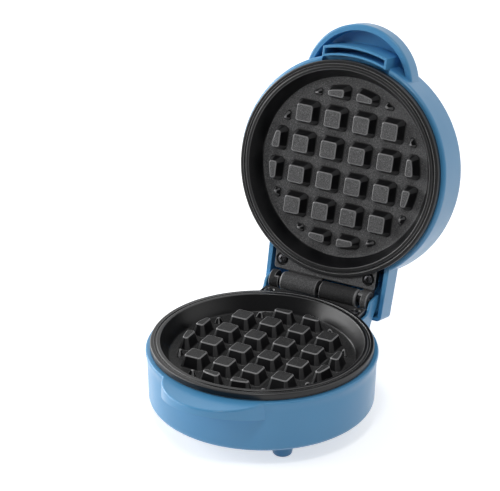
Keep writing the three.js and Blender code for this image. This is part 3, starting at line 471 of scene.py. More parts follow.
def moved(obj, x, y, z):
    obj.data.transform(Matrix.Translation((x, y, z)))
    return obj


def turned_to_x(obj):
    """A solid drawn along Z laid along X: its x becomes y and its y becomes z."""
    obj.data.transform(Matrix(((0, 0, 1, 0), (1, 0, 0, 0), (0, 1, 0, 0), (0, 0, 0, 1))))
    return obj


def across(outline, left, right, edge=0.0):
    """A side outline, drawn as y and z, carried across from one x to another."""
    return turned_to_x(slab(outline, left, right, edge, edge))


def hinge_bar(radius, left, right, left_round=0.0, right_round=0.0):
    profile = rounded([(0, left), (radius, left, left_round), (radius, right, right_round), (0, right)])
    return moved(turned_to_x(lathe(profile, MEDIUM)), 0, HINGE_REACH, HINGE_Z)


def combined(first, others, operation):
    for other in others:
        modifier = first.modifiers.new(operation, "BOOLEAN")
        modifier.object = other
        modifier.operation = operation
        modifier.solver = "MANIFOLD"
    shown = first.evaluated_get(bpy.context.evaluated_depsgraph_get())
    mesh = bpy.data.meshes.new_from_object(shown)
    first.modifiers.clear()
    first.data = mesh
    for other in others:
        bpy.data.objects.remove(other)
    return first


def join(first, *others):
    return combined(first, others, "UNION")


def cut(first, *others):
    return combined(first, others, "DIFFERENCE")


def common(first, *others):
    return combined(first, others, "INTERSECT")


# Finishing a piece: its place, body, material and the nodes it stands for
def piece(name, obj, place, body, slot, *nodes, material=None):
    obj.name = name
    obj.data.name = name
    obj.data.transform(place)
    if place.determinant() < 0:
        obj.data.flip_normals()
    for polygon in obj.data.polygons:
        polygon.use_smooth = True
    obj.data.set_sharp_from_angle(angle=math.radians(SHARP_DEGREES))
    weighted = obj.modifiers.new("weighted normals", "WEIGHTED_NORMAL")
    weighted.keep_sharp = True
    obj.data.materials.clear()
    obj.data.materials.append(material or materials[slot])
    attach(obj, body)
    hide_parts(*nodes)


# The grill plate
def stud_core(x, y, half, ring):
    """A square about a place, met by the ring's circle about the plate's middle."""
    toward = math.degrees(math.atan2(y, x))
    points = arc(0, 0, ring, toward - STUD_SWEEP, toward + STUD_SWEEP, ARC_STEPS)
    points.append(Vector((0, 0)))
    for normal in map(Vector, ((1, 0), (0, 1), (-1, 0), (0, -1))):
        limit = normal.dot(Vector((x, y))) + half
        kept = []
        for i, here in enumerate(points):
            before = points[i - 1]
            inside, was_inside = normal.dot(here) <= limit, normal.dot(before) <= limit
            if inside != was_inside:
                share = (limit - normal.dot(before)) / normal.dot(here - before)
                kept.append(before.lerp(here, share))
            if inside:
                kept.append(here)
        points = kept
    return points


def stud_sizes(height, drawn_in):
    """Half the square's width and the ring's radius at a height, less the distance drawn in."""
    share = height / STUD_HEIGHT
    return (STUD_FOOT / 2 - STUD_DRAFT * share - drawn_in, STUD_RING - STUD_RING_DRAFT * share - drawn_in)


def stud_room(x, y, height, drawn_in=0.0):
    """The radius of the largest round that fits the stud's plan at a height."""
    half, ring = stud_sizes(height, drawn_in)
    low, high = 0.0, max(half, 0.0)
    for _ in range(STUD_ROOM_STEPS):
        middle = (low + high) / 2
        if stud_core(x, y, half - middle, ring - middle):
            low = middle
        else:
            high = middle
    return low


def stud_outline(x, y, height, drawn_in, out):
    """The stud's plan at a height, with round corners, as one point for each direction."""
    half, ring = stud_sizes(height, drawn_in)
    corner = STUD_CORNER - STUD_CORNER_DRAFT * height - drawn_in / 2
    radius = min(corner, STUD_ROUND_SHARE * stud_room(x, y, height, drawn_in))
    core = stud_core(x, y, half - radius, ring - radius)
    outline = []
    for i in range(STUD_SIDES):
        turn = 2 * math.pi * (i + 0.5) / STUD_SIDES
        direction = Vector((math.cos(turn), math.sin(turn)))
        outline.append(max(core, key=direction.dot) + direction * (radius + out))
    return outline


def stud(x, y):
    """One stud, lofted from its foot fillet to its round top edge."""
    height = STUD_HEIGHT
    while stud_room(x, y, height, STUD_EDGE * STUD_EDGE_WIDTH) < STUD_EDGE / 8:
        height -= STUD_EDGE / 4
    levels = [(-CAST_WALL / 2, 0, STUD_FILLET * STUD_FILLET_SINK)]
    for step in range(ROUND_STEPS + 1):
        turn = math.pi / 2 * step / ROUND_STEPS
        levels.append((STUD_FILLET * (1 - math.cos(turn)), 0, STUD_FILLET * (1 - math.sin(turn))))
    for step in range(ROUND_STEPS + 2):
        turn = math.pi / 2 * step / (ROUND_STEPS + 1)
        drop = STUD_EDGE * (1 - math.sin(turn))
        levels.append((height - drop, STUD_EDGE * (1 - math.cos(turn)) * STUD_EDGE_WIDTH, 0))
    rings = [stud_outline(x, y, max(z, 0), drawn_in, out) for z, drawn_in, out in levels]
    return stack(rings, [z - WELL_DEPTH for z, _, _ in levels])


def stud_field():
    rows = [(i - (STUD_ROWS - 1) / 2) * STUD_PITCH for i in range(STUD_ROWS)]
    studs = []
    for y in rows:
        for x in rows:
            if math.hypot(abs(x) - STUD_FOOT / 2, abs(y) - STUD_FOOT / 2) < STUD_RING:
                studs.append(stud(x, y))
    return studs


def plate_dish():
    return lathe(rounded([
        (0, -WELL_DEPTH), (WELL_FLOOR_RADIUS, -WELL_DEPTH, WELL_FLOOR_ROUND),
        (WELL_RADIUS, 0, RIDGE_ROUND), (RIDGE_OUTER, 0, RIDGE_ROUND),
        (RIM_GROOVE_INNER, -RIM_GROOVE_DEPTH, FINE_ROUND),
        (RIM_GROOVE_OUTER, -RIM_GROOVE_DEPTH, FINE_ROUND),
        (RIM_BAND_INNER, -RIM_BAND_DROP, RIM_BAND_ROUND), (PLATE_RADIUS, -RIM_BAND_DROP, RIM_ROUND),
        (PLATE_RADIUS, -SKIRT_HEIGHT, FINE_ROUND), (SKIRT_INNER, -SKIRT_HEIGHT, FINE_ROUND),
        (SKIRT_INNER, -RIM_UNDER_DEPTH, CRISP_ROUND), (RIM_UNDER, -RIM_UNDER_DEPTH, PLAIN_ROUND),
        (PLATE_BACK_RADIUS, PLATE_UNDER, PLATE_BACK_ROUND), (0, PLATE_UNDER)]))


def plate_tab():
    outline = plan(TAB_HALF, TAB_START, TAB_HALF, KNUCKLE_FRONT, TAB_CORNER, TAB_STEPS)
    tab = slab(outline, TAB_UNDER, -TAB_DROP, TAB_EDGE, TAB_EDGE)
    return cut(tab, post(0, 0, RIM_UNDER + SEAT_GAP, TAB_UNDER - OVERRUN, 0, FINE))


def knuckle_arm(left, right, reach):
    front = KNUCKLE_FRONT - OVERRUN
    top = -(TAB_DROP + WEB_DROP)
    low = HINGE_Z - KNUCKLE_RADIUS + WEB_DROP
    return across([(front, top), (front, TAB_UNDER + WEB_INSET), (reach, low), (reach, top)], left, right)


def ear_shoulder():
    front = HINGE_REACH - KNUCKLE_RADIUS - OVERRUN
    space = block(-EAR_INNER - OVERRUN, -EAR_SHOULDER, front, HINGE_REACH - EAR_SHOULDER_BACK,
                  HINGE_Z - KNUCKLE_RADIUS - OVERRUN, HINGE_Z + EAR_SHOULDER_RISE)
    return common(hinge_bar(KNUCKLE_RADIUS, -EAR_INNER - OVERRUN, -EAR_SHOULDER, 0, FINE_ROUND), space)


def tab_holes():
    """The sinks and holes of the two tab screws."""
    holes = []
    for x in BOTH_SCREWS:
        sink = rounded([
            (0, -(TAB_DROP + SCREW_SINK)), (SCREW_SINK_RADIUS, -(TAB_DROP + SCREW_SINK), FINE_ROUND),
            (SCREW_SINK_RADIUS + SCREW_SINK_DRAFT, -TAB_DROP - SCREW_FLARE_DEPTH, HAIR_ROUND),
            (SCREW_SINK_RADIUS + SCREW_SINK_FLARE, -TAB_DROP, HAIR_ROUND),
            (SCREW_SINK_RADIUS + SCREW_SINK_MOUTH, OVERRUN - TAB_DROP), (0, OVERRUN - TAB_DROP)])
        holes.append(moved(lathe(sink, MEDIUM), x, SCREW_Y, 0))
        holes.append(post(x, SCREW_Y, SHANK_HOLE, TAB_UNDER - OVERRUN, -TAB_DROP, SMALL))
    return holes


def grill_plate():
    body = join(
        plate_dish(), plate_tab(), *stud_field(),
        hinge_bar(KNUCKLE_RADIUS, KNUCKLE_START, KNUCKLE_END, KNUCKLE_ROUND, KNUCKLE_CHAMFER),
        knuckle_arm(KNUCKLE_START, KNUCKLE_END - KNUCKLE_CHAMFER, HINGE_REACH),
        hinge_bar(KNUCKLE_RADIUS, -EAR_OUTER, -EAR_INNER, SOFT_ROUND, FINE_ROUND),
        knuckle_arm(-EAR_OUTER + WEB_INSET, -EAR_INNER, HINGE_REACH),
        ear_shoulder(),
        knuckle_arm(-EAR_OUTER + WEB_INSET, -EAR_SHOULDER, HINGE_REACH - EAR_SHOULDER_BACK))
    bore = hinge_bar(PIN_RADIUS + HOLE_GAP, -TAB_HALF - OVERRUN, TAB_HALF + OVERRUN)
    return with_marks(cut(body, *tab_holes(), bore))


def with_marks(obj):
    """Mark how sharply each face bends and which faces are grainy flats; the coating paints highlights on
    the bends and painted light on the flats.
    """
    shape = bmesh.new()
    shape.from_mesh(obj.data)
    bends, flats = [], []
    for face in shape.faces:
        middle = face.calc_center_median()
        on_barrel = middle.y > KNUCKLE_FRONT
        on_rim = math.hypot(middle.x, middle.y) > STUD_RING + RIM_MARGIN and not on_barrel
        turn = sum(edge.calc_face_angle_signed(0) * edge.calc_length() for edge in face.edges)
        bends.append((RIM_BEND if on_rim else 1.0) * turn / 2 / max(face.calc_area(), SMALLEST_AREA))
        low_top = middle.z < -TAB_DROP + TAB_EDGE / 2 and face.normal.z > LEVEL
        small_stud = middle.z > STUD_FILLET - WELL_DEPTH and face.calc_area() < SMALL_STUD_FACE
        # The barrels take most of the flats' grain and their painted light
        if on_barrel:
            flats.append(BARREL_GRAIN_AND_LIGHT)
        else:
            flats.append(1.0 if low_top and not small_stud else 0.0)
    shape.free()
    for name, values in (("edge", bends), ("flat", flats)):
        mark = obj.data.attributes.new(name, "FLOAT", "FACE")
        mark.data.foreach_set("value", values)
    return obj


def screw(length):
    """A cross-head pan screw with its crown at height zero."""
    foot_z = -HEAD_HEIGHT - length
    head = lathe(rounded([
        (0, 0), (SCREW_HEAD * SCREW_CROWN_SHARE, -SCREW_CROWN_DROP, SCREW_CROWN_ROUND),
        (SCREW_HEAD, -SCREW_HEAD_SHOULDER, SCREW_HEAD_ROUND), (SCREW_HEAD, -HEAD_HEIGHT, HAIR_ROUND),
        (SCREW_SHANK, -HEAD_HEIGHT, SCREW_NECK_ROUND),
        (SCREW_SHANK, SCREW_TIP - HEAD_HEIGHT - length, FINE_ROUND),
        (SCREW_TIP_RADIUS, foot_z), (0, foot_z)]), SMALL * 2)
    arms = []
    for turn in (0, math.pi / 2):
        outlines = [distinct([Vector(p) for p in ((-a, -b), (a, -b), (a, b), (-a, b))])
                    for a, b in (CROSS_FLOOR, CROSS_MOUTH)]
        tool = stack(outlines, [-CROSS_DEPTH, OVERRUN / 5])
        tool.data.transform(Matrix.Rotation(turn + CROSS_TURN, 4, "Z"))
        arms.append(tool)
    return cut(head, *arms)


# The base housing
def stop_point(back):
    """Where a point of the hood's rear rim lies once the lid is open."""
    turn = math.radians(OPEN_DEGREES)
    dy = HOOD_BACK - HOOD_WALL + back - HINGE_REACH
    dz = LID_EDGE - SEAT_GAP - HINGE_Z
    return (HINGE_REACH + math.cos(turn) * dy + math.sin(turn) * dz,
            HINGE_Z - math.sin(turn) * dy + math.cos(turn) * dz)


def base_shell():
    return lathe(rounded([
        (0, -BASE_DEPTH), (BASE_BOTTOM_RADIUS, -BASE_DEPTH, BASE_FOOT_ROUND),
        (BASE_WALL_RADIUS, BASE_TOP - EDGE_ROUND - BASE_FLARE, BASE_FLARE_ROUND),
        (BASE_RADIUS, BASE_TOP - EDGE_ROUND, BASE_WALL_ROUND),
        (BASE_RADIUS, BASE_TOP, EDGE_ROUND), (0, BASE_TOP)], steps=LARGE_STEPS))


def base_hollow():
    ledge = BASE_RADIUS - LEDGE
    return lathe(rounded([
        (0, BASE_FLOOR), (BASE_BOTTOM_RADIUS - WALL, BASE_FLOOR, BASE_FOOT_ROUND / 2),
        (BASE_WALL_RADIUS - WALL, BASE_TOP - LEDGE_DEPTH, SOFT_ROUND),
        (ledge, BASE_TOP - LEDGE_DEPTH + EDGE_ROUND / 2, FINE_ROUND),
        (ledge, PAST_BASE_TOP), (0, PAST_BASE_TOP)]))


def front_lip():
    """The finger lip: a disc edge on a sloping underside."""
    disc = lathe(rounded([
        (0, BASE_TOP - LIP_ROOT), (LIP_RADIUS, BASE_TOP - LIP_ROOT),
        (LIP_RADIUS, BASE_TOP, LIP_ROUND), (0, BASE_TOP)]))
    moved(disc, 0, -LIP_REACH, 0)
    reach = LIP_REACH + LIP_RADIUS
    bracket = lathe([
        (0, BASE_TOP - LIP_ROOT), (BASE_RADIUS, BASE_TOP - LIP_ROOT), (reach, BASE_TOP - LIP_FACE),
        (reach + OVERRUN, BASE_TOP - LIP_FACE), (reach + OVERRUN, PAST_BASE_TOP), (0, PAST_BASE_TOP)])
    lip = common(disc, bracket)
    return cut(lip, block(-BASE_RADIUS, BASE_RADIUS, -LIP_REACH, BASE_RADIUS, -BASE_DEPTH, OVERRUN))


def neck_box():
    outline = plan(NECK_HALF, NECK_START, NECK_HALF, NECK_BACK, NECK_CORNER)
    return slab(outline, -BASE_DEPTH, TAB_SEAT, NECK_CORNER, 0)


def hood_stop():
    low_y, low_z = stop_point(HOOD_WALL)
    inside = NECK_BACK - WALL
    outline = [(inside, TAB_SEAT), (stop_point(-STOP_RISE)[0], TAB_SEAT), stop_point(-STOP_RISE)]
    outline += bezier([(low_y, low_z), (NECK_BACK, low_z - WALL), (NECK_BACK, -NECK_BEND)], STOP_STEPS)
    outline.append((inside, -NECK_BEND))
    return across(outline, -STOP_HALF, STOP_HALF)


def tongues():
    """The two walls that rise beside the hinge."""
    crest = HINGE_Z + TONGUE_RISE
    start = math.degrees(math.asin(TONGUE_RISE / TONGUE_RADIUS))
    leave, arrive = TONGUE_FRONT + TONGUE_SWEEP, TONGUE_CREST - TONGUE_SWEEP
    round_back = arc(HINGE_REACH, HINGE_Z, TONGUE_RADIUS, start, -TONGUE_BACK_DEGREES, TURN_STEPS)
    outline = [(NECK_START, -NECK_BEND), (NECK_START, BASE_TOP)]
    outline += bezier([(TONGUE_FRONT, BASE_TOP), (leave, BASE_TOP), (arrive, crest), (TONGUE_CREST, crest)],
                      SWEEP_STEPS)
    outline += round_back
    outline += bezier([round_back[-1], (NECK_BACK + TONGUE_HOLLOW, -TONGUE_HOLLOW_DROP),
                       (NECK_BACK - NECK_CORNER, -NECK_BEND)], LARGE_STEPS)[1:]
    inner = NECK_HALF - TONGUE_WIDTH
    return [across(outline, -NECK_HALF, -inner, THIN_ROUND), across(outline, inner, NECK_HALF, THIN_ROUND)]


def base_holes(post_top):
    """The holes for the tab screws, the feet, the case screw and the gland."""
    under = -BASE_DEPTH - OVERRUN
    stem = FOOT_STEM + HOLE_GAP
    holes = [post(x, SCREW_Y, SHANK_HOLE, TAB_SEAT - SCREW_LENGTH, OVERRUN, SMALL) for x in BOTH_SCREWS]
    holes += [post(x, y, stem, under, BASE_FLOOR + OVERRUN) for x, y in FOOT_PLACES.values()]
    holes.append(post(0, CASE_SCREW_Y, SINK_RADIUS, under, SINK_DEPTH - BASE_DEPTH))
    holes.append(post(0, CASE_SCREW_Y, SHANK_HOLE, under, post_top + OVERRUN, SMALL))
    holes.append(gland_place(post(0, 0, GLAND_SLEEVE + HOLE_GAP, -WALL, WALL)))
    return holes


def base_housing():
    inner = NECK_HALF - TONGUE_WIDTH
    outside = join(base_shell(), front_lip(), neck_box(), hood_stop(), *tongues())
    over_plate = post(0, 0, BASE_RADIUS - EDGE_ROUND, BASE_TOP, OVERRUN, FINE)
    tab_side = TAB_HALF + SEAT_GAP
    tab_notch = block(-tab_side, tab_side, NECK_START, HINGE_REACH, TAB_SEAT, OVERRUN)
    neck_hollow = block(-inner, inner, NECK_START, NECK_BACK - WALL, BASE_FLOOR, TAB_SEAT - WALL)
    hollow = cut(outside, over_plate, tab_notch, base_hollow(), neck_hollow)
    post_top = PLATE_UNDER - FRONT_BOSS_HEIGHT - HOLE_GAP
    low = BASE_FLOOR - OVERRUN
    bosses = [post(x, SCREW_Y, SCREW_BOSS_RADIUS, low, TAB_SEAT) for x in BOTH_SCREWS]
    body = join(hollow, *bosses, post(0, CASE_SCREW_Y, CASE_BOSS_RADIUS, low, post_top))
    return cut(body, *base_holes(post_top))


def gland_place(obj):
    """Lay a solid drawn along Z through the back wall of the neck."""
    obj.data.transform(Matrix.Rotation(-math.pi / 2, 4, "X"))
    return moved(obj, 0, NECK_BACK - WALL / 2, GLAND_HEIGHT - BASE_DEPTH)


def cord_gland():
    outer = WALL / 2 + HOLE_GAP
    end = outer + GLAND_FLANGE
    return gland_place(lathe(rounded([
        (GLAND_BORE, -end, PLAIN_ROUND), (GLAND_FLANGE_RADIUS, -end, GLAND_INNER_ROUND),
        (GLAND_FLANGE_RADIUS, -outer, CRISP_ROUND), (GLAND_SLEEVE, -outer), (GLAND_SLEEVE, outer),
        (GLAND_FLANGE_RADIUS, outer, CRISP_ROUND),
        (GLAND_FLANGE_RADIUS - GLAND_NOSE, end, GLAND_OUTER_ROUND), (GLAND_BORE, end, SOFT_ROUND)],
        closed=True), MEDIUM))


def foot():
    """A push-in foot, with its stem and collar above the base floor."""
    top = -(BASE_DEPTH + HOLE_GAP)
    low = -(BASE_DEPTH + FOOT_HEIGHT - FOOT_FLOOR_GAP)
    collar = BASE_FLOOR + HOLE_GAP
    tip = collar + FOOT_COLLAR_HEIGHT
    return lathe(rounded([
        (0, low), (FOOT_BOTTOM_RADIUS, low, FOOT_ROUND),
        (FOOT_TOP_RADIUS, top, FOOT_SHOULDER_ROUND), (FOOT_STEM, top), (FOOT_STEM, collar),
        (FOOT_COLLAR_RADIUS, collar, CRISP_ROUND), (FOOT_COLLAR_TIP, tip, PLAIN_ROUND),
        (0, tip)]), MEDIUM)


# The lid housing
def lid_shell():
    profile = rounded([(0, LID_EDGE), (BASE_RADIUS, LID_EDGE, EDGE_ROUND),
                       (BASE_RADIUS, LID_TOP - SHOULDER_HEIGHT)], steps=LARGE_STEPS)
    for step in range(1, SHOULDER_STEPS + 1):
        turn = math.pi / 2 * step / SHOULDER_STEPS
        profile.append(Vector((DISC_RADIUS + SHOULDER_WIDTH * math.cos(turn),
                               LID_TOP - SHOULDER_HEIGHT + SHOULDER_HEIGHT * math.sin(turn))))
    profile.append(Vector((0, LID_TOP)))
    return lathe(profile)


def lid_hollow():
    ledge, wall = BASE_RADIUS - LEDGE, BASE_RADIUS - WALL
    return lathe(rounded([
        (0, PAST_LID_EDGE), (ledge, PAST_LID_EDGE), (ledge, LID_EDGE + LEDGE_DEPTH, FINE_ROUND),
        (wall, LID_EDGE + LEDGE_DEPTH + EDGE_ROUND, SOFT_ROUND), (wall, LID_TOP - SHOULDER_HEIGHT),
        (wall, LID_CEILING, SHOULDER_HEIGHT - WALL), (0, LID_CEILING)]))


def handle_disc():
    disc = lathe(rounded([
        (0, HANDLE_UNDER_Z), (HANDLE_RADIUS, HANDLE_UNDER_Z, HANDLE_EDGE_ROUND),
        (HANDLE_RADIUS, HANDLE_TOP_Z, HANDLE_TOP_ROUND), (0, HANDLE_TOP_Z)], steps=LARGE_STEPS))
    return moved(disc, 0, -HANDLE_REACH, 0)


def front_arc(inner, outer, half, low, high, edge=0.0):
    """An arc-shaped block at the front between two radii, with square ends."""
    a = math.degrees(math.asin(half / outer))
    b = math.degrees(math.asin(half / inner))
    outline = arc(0, 0, outer, -90 - a, -90 + a, ARC_STEPS) + arc(0, 0, inner, -90 + b, -90 - b, ARC_STEPS)
    return slab(outline, low, high, edge, 0)


def pocket():
    low = LID_EDGE - SKIRT_HEIGHT + POCKET_DROP
    walls = front_arc(POCKET_INNER, POCKET_OUTER, POCKET_HALF, low, HANDLE_CEILING + OVERRUN, THIN_ROUND)
    slot = front_arc(POCKET_INNER + POCKET_WALL, POCKET_OUTER - POCKET_WALL, POCKET_HALF - POCKET_WALL,
                     low - OVERRUN, low + POCKET_DEPTH)
    return walls, slot


def hood_outside():
    root = HOOD_HALF + HOOD_SPREAD
    top = PLATE_GAP + HOOD_TOP
    outline = plan(root, HOOD_START, HOOD_HALF, HOOD_BACK, HOOD_CORNER, LARGE_STEPS)
    above = slab(outline, LID_EDGE, top, HOOD_EDGE_ROUND, HOOD_TOP_ROUND)
    side = rounded([
        (HOOD_START - OVERRUN, PAST_LID_EDGE), (HOOD_BACK, PAST_LID_EDGE),
        (HOOD_BACK - HOOD_DRAFT, top, HOOD_TOP_ROUND), (HOOD_START - OVERRUN, top)], closed=True)
    return common(above, across(side, -root - OVERRUN, root + OVERRUN))


def slot_outline(margin):
    half = SLOT_WIDTH / 2 + margin
    outline = [Vector((half, SLOT_END + margin)), Vector((-half, SLOT_END + margin))]
    return outline + arc(0, SLOT_START + SLOT_WIDTH / 2, half, 180, 360, TURN_STEPS)


def handle():
    """The handle's disc, hollow from below outside the lid's shell."""
    under = HANDLE_UNDER_Z - OVERRUN
    inner = HANDLE_RADIUS - HANDLE_WALL
    hollow = moved(lathe(rounded([
        (0, under), (inner, under), (inner, HANDLE_CEILING, HANDLE_HOLLOW_ROUND), (0, HANDLE_CEILING)])),
        0, -HANDLE_REACH, 0)
    inside_shell = post(0, 0, BASE_RADIUS - WALL / 2, under - OVERRUN, HANDLE_CEILING + OVERRUN, FINE)
    return cut(handle_disc(), cut(hollow, inside_shell))


def hood_hollow():
    back = HOOD_BACK - HOOD_WALL
    half = HOOD_HALF - HOOD_WALL
    side = rounded([
        (HOOD_START, PAST_LID_EDGE), (back, PAST_LID_EDGE),
        (back - HOOD_DRAFT, HOOD_CEILING, HOOD_CEILING_ROUND), (HOOD_START, HOOD_CEILING)], closed=True)
    outline = plan(half, HOOD_START, half, back + WALL, HOOD_INNER_CORNER)
    return common(across(side, -half, half), slab(outline, LID_EDGE - 2 * OVERRUN, HOOD_CEILING + OVERRUN))


def disc_groove():
    """The fine groove round the lid's top disc."""
    disc = DISC_RADIUS
    lip, half = GROOVE_WIDTH * GROOVE_LIP, GROOVE_FLOOR_HALF
    floor = LID_TOP - GROOVE_DEPTH
    return lathe(rounded([
        (disc + GROOVE_WIDTH, PAST_LID_TOP), (disc + lip, LID_TOP, SOFT_ROUND),
        (disc + half, floor, half), (disc - half, floor, half),
        (disc - lip, LID_TOP, SOFT_ROUND), (disc - GROOVE_WIDTH, PAST_LID_TOP)]))


def slot_funnel():
    """The hollow that widens from the indicator slot's square end to the groove."""
    outline = plan(SLOT_WIDTH / 2, SLOT_END - OVERRUN, FUNNEL_WIDTH / 2, DISC_RADIUS)
    return slab(outline, LID_TOP - FUNNEL_DEPTH, PAST_LID_TOP)


def lid_housing():
    walls, slot = pocket()
    relief = front_arc(BASE_RADIUS - LEDGE - OVERRUN, POCKET_INNER + POCKET_WALL / 2,
                       POCKET_HALF + OVERRUN, PAST_LID_EDGE, PLATE_GAP + RELIEF_HEIGHT)
    outside = join(lid_shell(), handle(), hood_outside())
    shell = cut(outside, lid_hollow(), relief, hood_hollow())
    boss_low = PLATE_GAP - TAB_UNDER + SEAT_GAP
    bosses, holes = [], []
    for x in BOTH_SCREWS:
        bosses.append(post(x, SCREW_Y, SCREW_BOSS_RADIUS, boss_low, HOOD_CEILING + OVERRUN))
        holes.append(post(x, SCREW_Y, SHANK_HOLE, 0, HOOD_CEILING, SMALL))
    body = join(shell, walls, *bosses)
    indicator = slab(slot_outline(0), LID_CEILING - OVERRUN, PAST_LID_TOP)
    return cut(body, slot, disc_groove(), slot_funnel(), *holes, indicator)


def indicator_lens():
    flange_top = LID_CEILING - HOLE_GAP
    bar = slab(slot_outline(-HOLE_GAP), flange_top - LENS_FLANGE_HEIGHT / 2, LID_TOP - LENS_RECESS,
               0, FINE_ROUND)
    return join(bar, slab(slot_outline(LENS_FLANGE), flange_top - LENS_FLANGE_HEIGHT, flange_top,
                          CRISP_ROUND, CRISP_ROUND))


# Materials, built from nodes. Colours in pairs are mixed by a noise
BLUES = ((0.078, 0.315, 0.590), (0.092, 0.340, 0.625))
BLUE_ROUGHNESS = (0.29, 0.35)
# Painted shade: the coating's walls are near black because they face away from the light
COATING_SHADED_WALL = ((0.003, 0.003, 0.004), (0.007, 0.007, 0.008))
# Painted highlight: a lighter grey on inward folds such as the stud foot fillets, the well's floor edge and
# the rim groove
COATING_FILLET_HIGHLIGHT = (0.08, 0.08, 0.08)
# Painted highlight: a light grey on the sharp outward edges of the studs and the rim
COATING_EDGE_HIGHLIGHT = (0.24, 0.24, 0.245)
COATING_TINT = (1, 1, 1.02)
COATING_GRAINS = (0.65, 1.3, 2.0)
COATING_GLOSSY = (0.285, 0.33)
COATING_DULL = (0.42, 0.58)
COATING_SHEEN = (0.45, 0.12)
EDGE_HIGHLIGHT_COVER = 0.85
FILLET_HIGHLIGHT_COVER = 0.4
WALL_RELIEF = 0.1
# Painted light and shade: the grey of the level flats, lighter on the upper casting, which takes more
# light, and darker on the lower
UPPER_PAINTED_LIGHT = 0.108
LOWER_PAINTED_SHADE = 0.036
LENS_COLOURS = ((0.012, 0.008, 0.008), (0.035, 0.016, 0.014))
LAMP_COLOURS = ((0.9, 0.45, 0.22), (1.0, 0.62, 0.35))
SLEEVE_COLOURS = ((0.55, 0.52, 0.46), (0.82, 0.80, 0.74))

# The band of a noise, or of a bend's sharpness, that a finish spreads over its whole range
NOISE_BAND = (0.3, 0.7)
GRAIN_BAND = (0.35, 0.65)
FLECK_BAND = (0.58, 0.68)
CONVEX_BAND = (0.35, 0.9)
CONCAVE_BAND = (-0.9, -0.35)
BEVEL_SAMPLES = 6


def add_node(tree, kind, inputs=None, **settings):
    """A node, with its inputs set to values or linked to sockets."""
    made = tree.nodes.new(kind)
    for key, value in settings.items():
        setattr(made, key, value)
    for key, value in (inputs or {}).items():
        if isinstance(value, bpy.types.NodeSocket):
            tree.links.new(value, made.inputs[key])
        else:
            made.inputs[key].default_value = value
    return made


class Finish:
    """A material whose shader is a Principled BSDF, and small helpers for its nodes."""

    def __init__(self, name, **values):
        self.material = bpy.data.materials.new(name)
        self.material.use_nodes = True
        self.tree = self.material.node_tree
        self.shader = self.tree.nodes["Principled BSDF"]
        for key, value in values.items():
            socket = self.shader.inputs[key.replace("_", " ").title().replace("Ior", "IOR")]
            socket.default_value = value
        self.place = self.node("ShaderNodeTexCoord").outputs["Object"]

    def node(self, kind, inputs=None, **settings):
        return add_node(self.tree, kind, inputs, **settings)

    def joined(self, operation, first, second):
        """Two values put together by a Math node."""
        return self.node("ShaderNodeMath", {0: first, 1: second}, operation=operation).outputs[0]

    def noise(self, size, detail=2.0, roughness=0.5, place=None):
        """Noise whose blotches are about as wide as size, in millimetres."""
        made = self.node("ShaderNodeTexNoise", {
            "Vector": place or self.place, "Scale": 1 / (size * MM),
            "Detail": detail, "Roughness": roughness})
        return made.outputs["Fac"]

    def mark(self, name):
        """A value that with_marks left on each face."""
        return self.node("ShaderNodeAttribute", attribute_name=name).outputs["Fac"]

    def spread(self, value, low, high, out_low=0.0, out_high=1.0):
        """A value carried from one range to another, held inside it."""
        made = self.node("ShaderNodeMapRange", {
            "Value": value, "From Min": low, "From Max": high, "To Min": out_low, "To Max": out_high})
        return made.outputs["Result"]

    def between(self, share, first, second):
        """A value between two others."""
        return self.node("ShaderNodeMix", {0: share, 2: first, 3: second}).outputs[0]

    def mixed(self, share, first, second):
        """A colour between two others."""
        first, second = ((*c, 1) if isinstance(c, tuple) else c for c in (first, second))
        return self.node("ShaderNodeMix", {0: share, 6: first, 7: second}, data_type="RGBA").outputs[2]

    def relief(self, height, depth, edge=0.0):
        """A bump of the depth given, over edges rounded by the radius given, in millimetres."""
        inputs = {"Height": height, "Distance": depth * MM, "Strength": 1.0}
        if edge:
            bevel = self.node("ShaderNodeBevel", {"Radius": edge * MM}, samples=BEVEL_SAMPLES)
            inputs["Normal"] = bevel.outputs["Normal"]
        self.set("Normal", self.node("ShaderNodeBump", inputs).outputs["Normal"])

    def set(self, key, value):
        self.tree.links.new(value, self.shader.inputs[key])


def blue_plastic():
    finish = Finish("blue_plastic", roughness=0.3, specular_ior_level=0.55,
                    coat_weight=0.15, coat_roughness=0.2)
    cloud = finish.noise(size=45, detail=1.0)
    peel = finish.noise(size=1.6, detail=1.5)
    finish.set("Base Color", finish.mixed(finish.spread(cloud, *NOISE_BAND), *BLUES))
    finish.set("Roughness", finish.spread(finish.noise(size=9), *NOISE_BAND, *BLUE_ROUGHNESS))
    finish.relief(peel, depth=0.002, edge=0.45)
    return finish.material


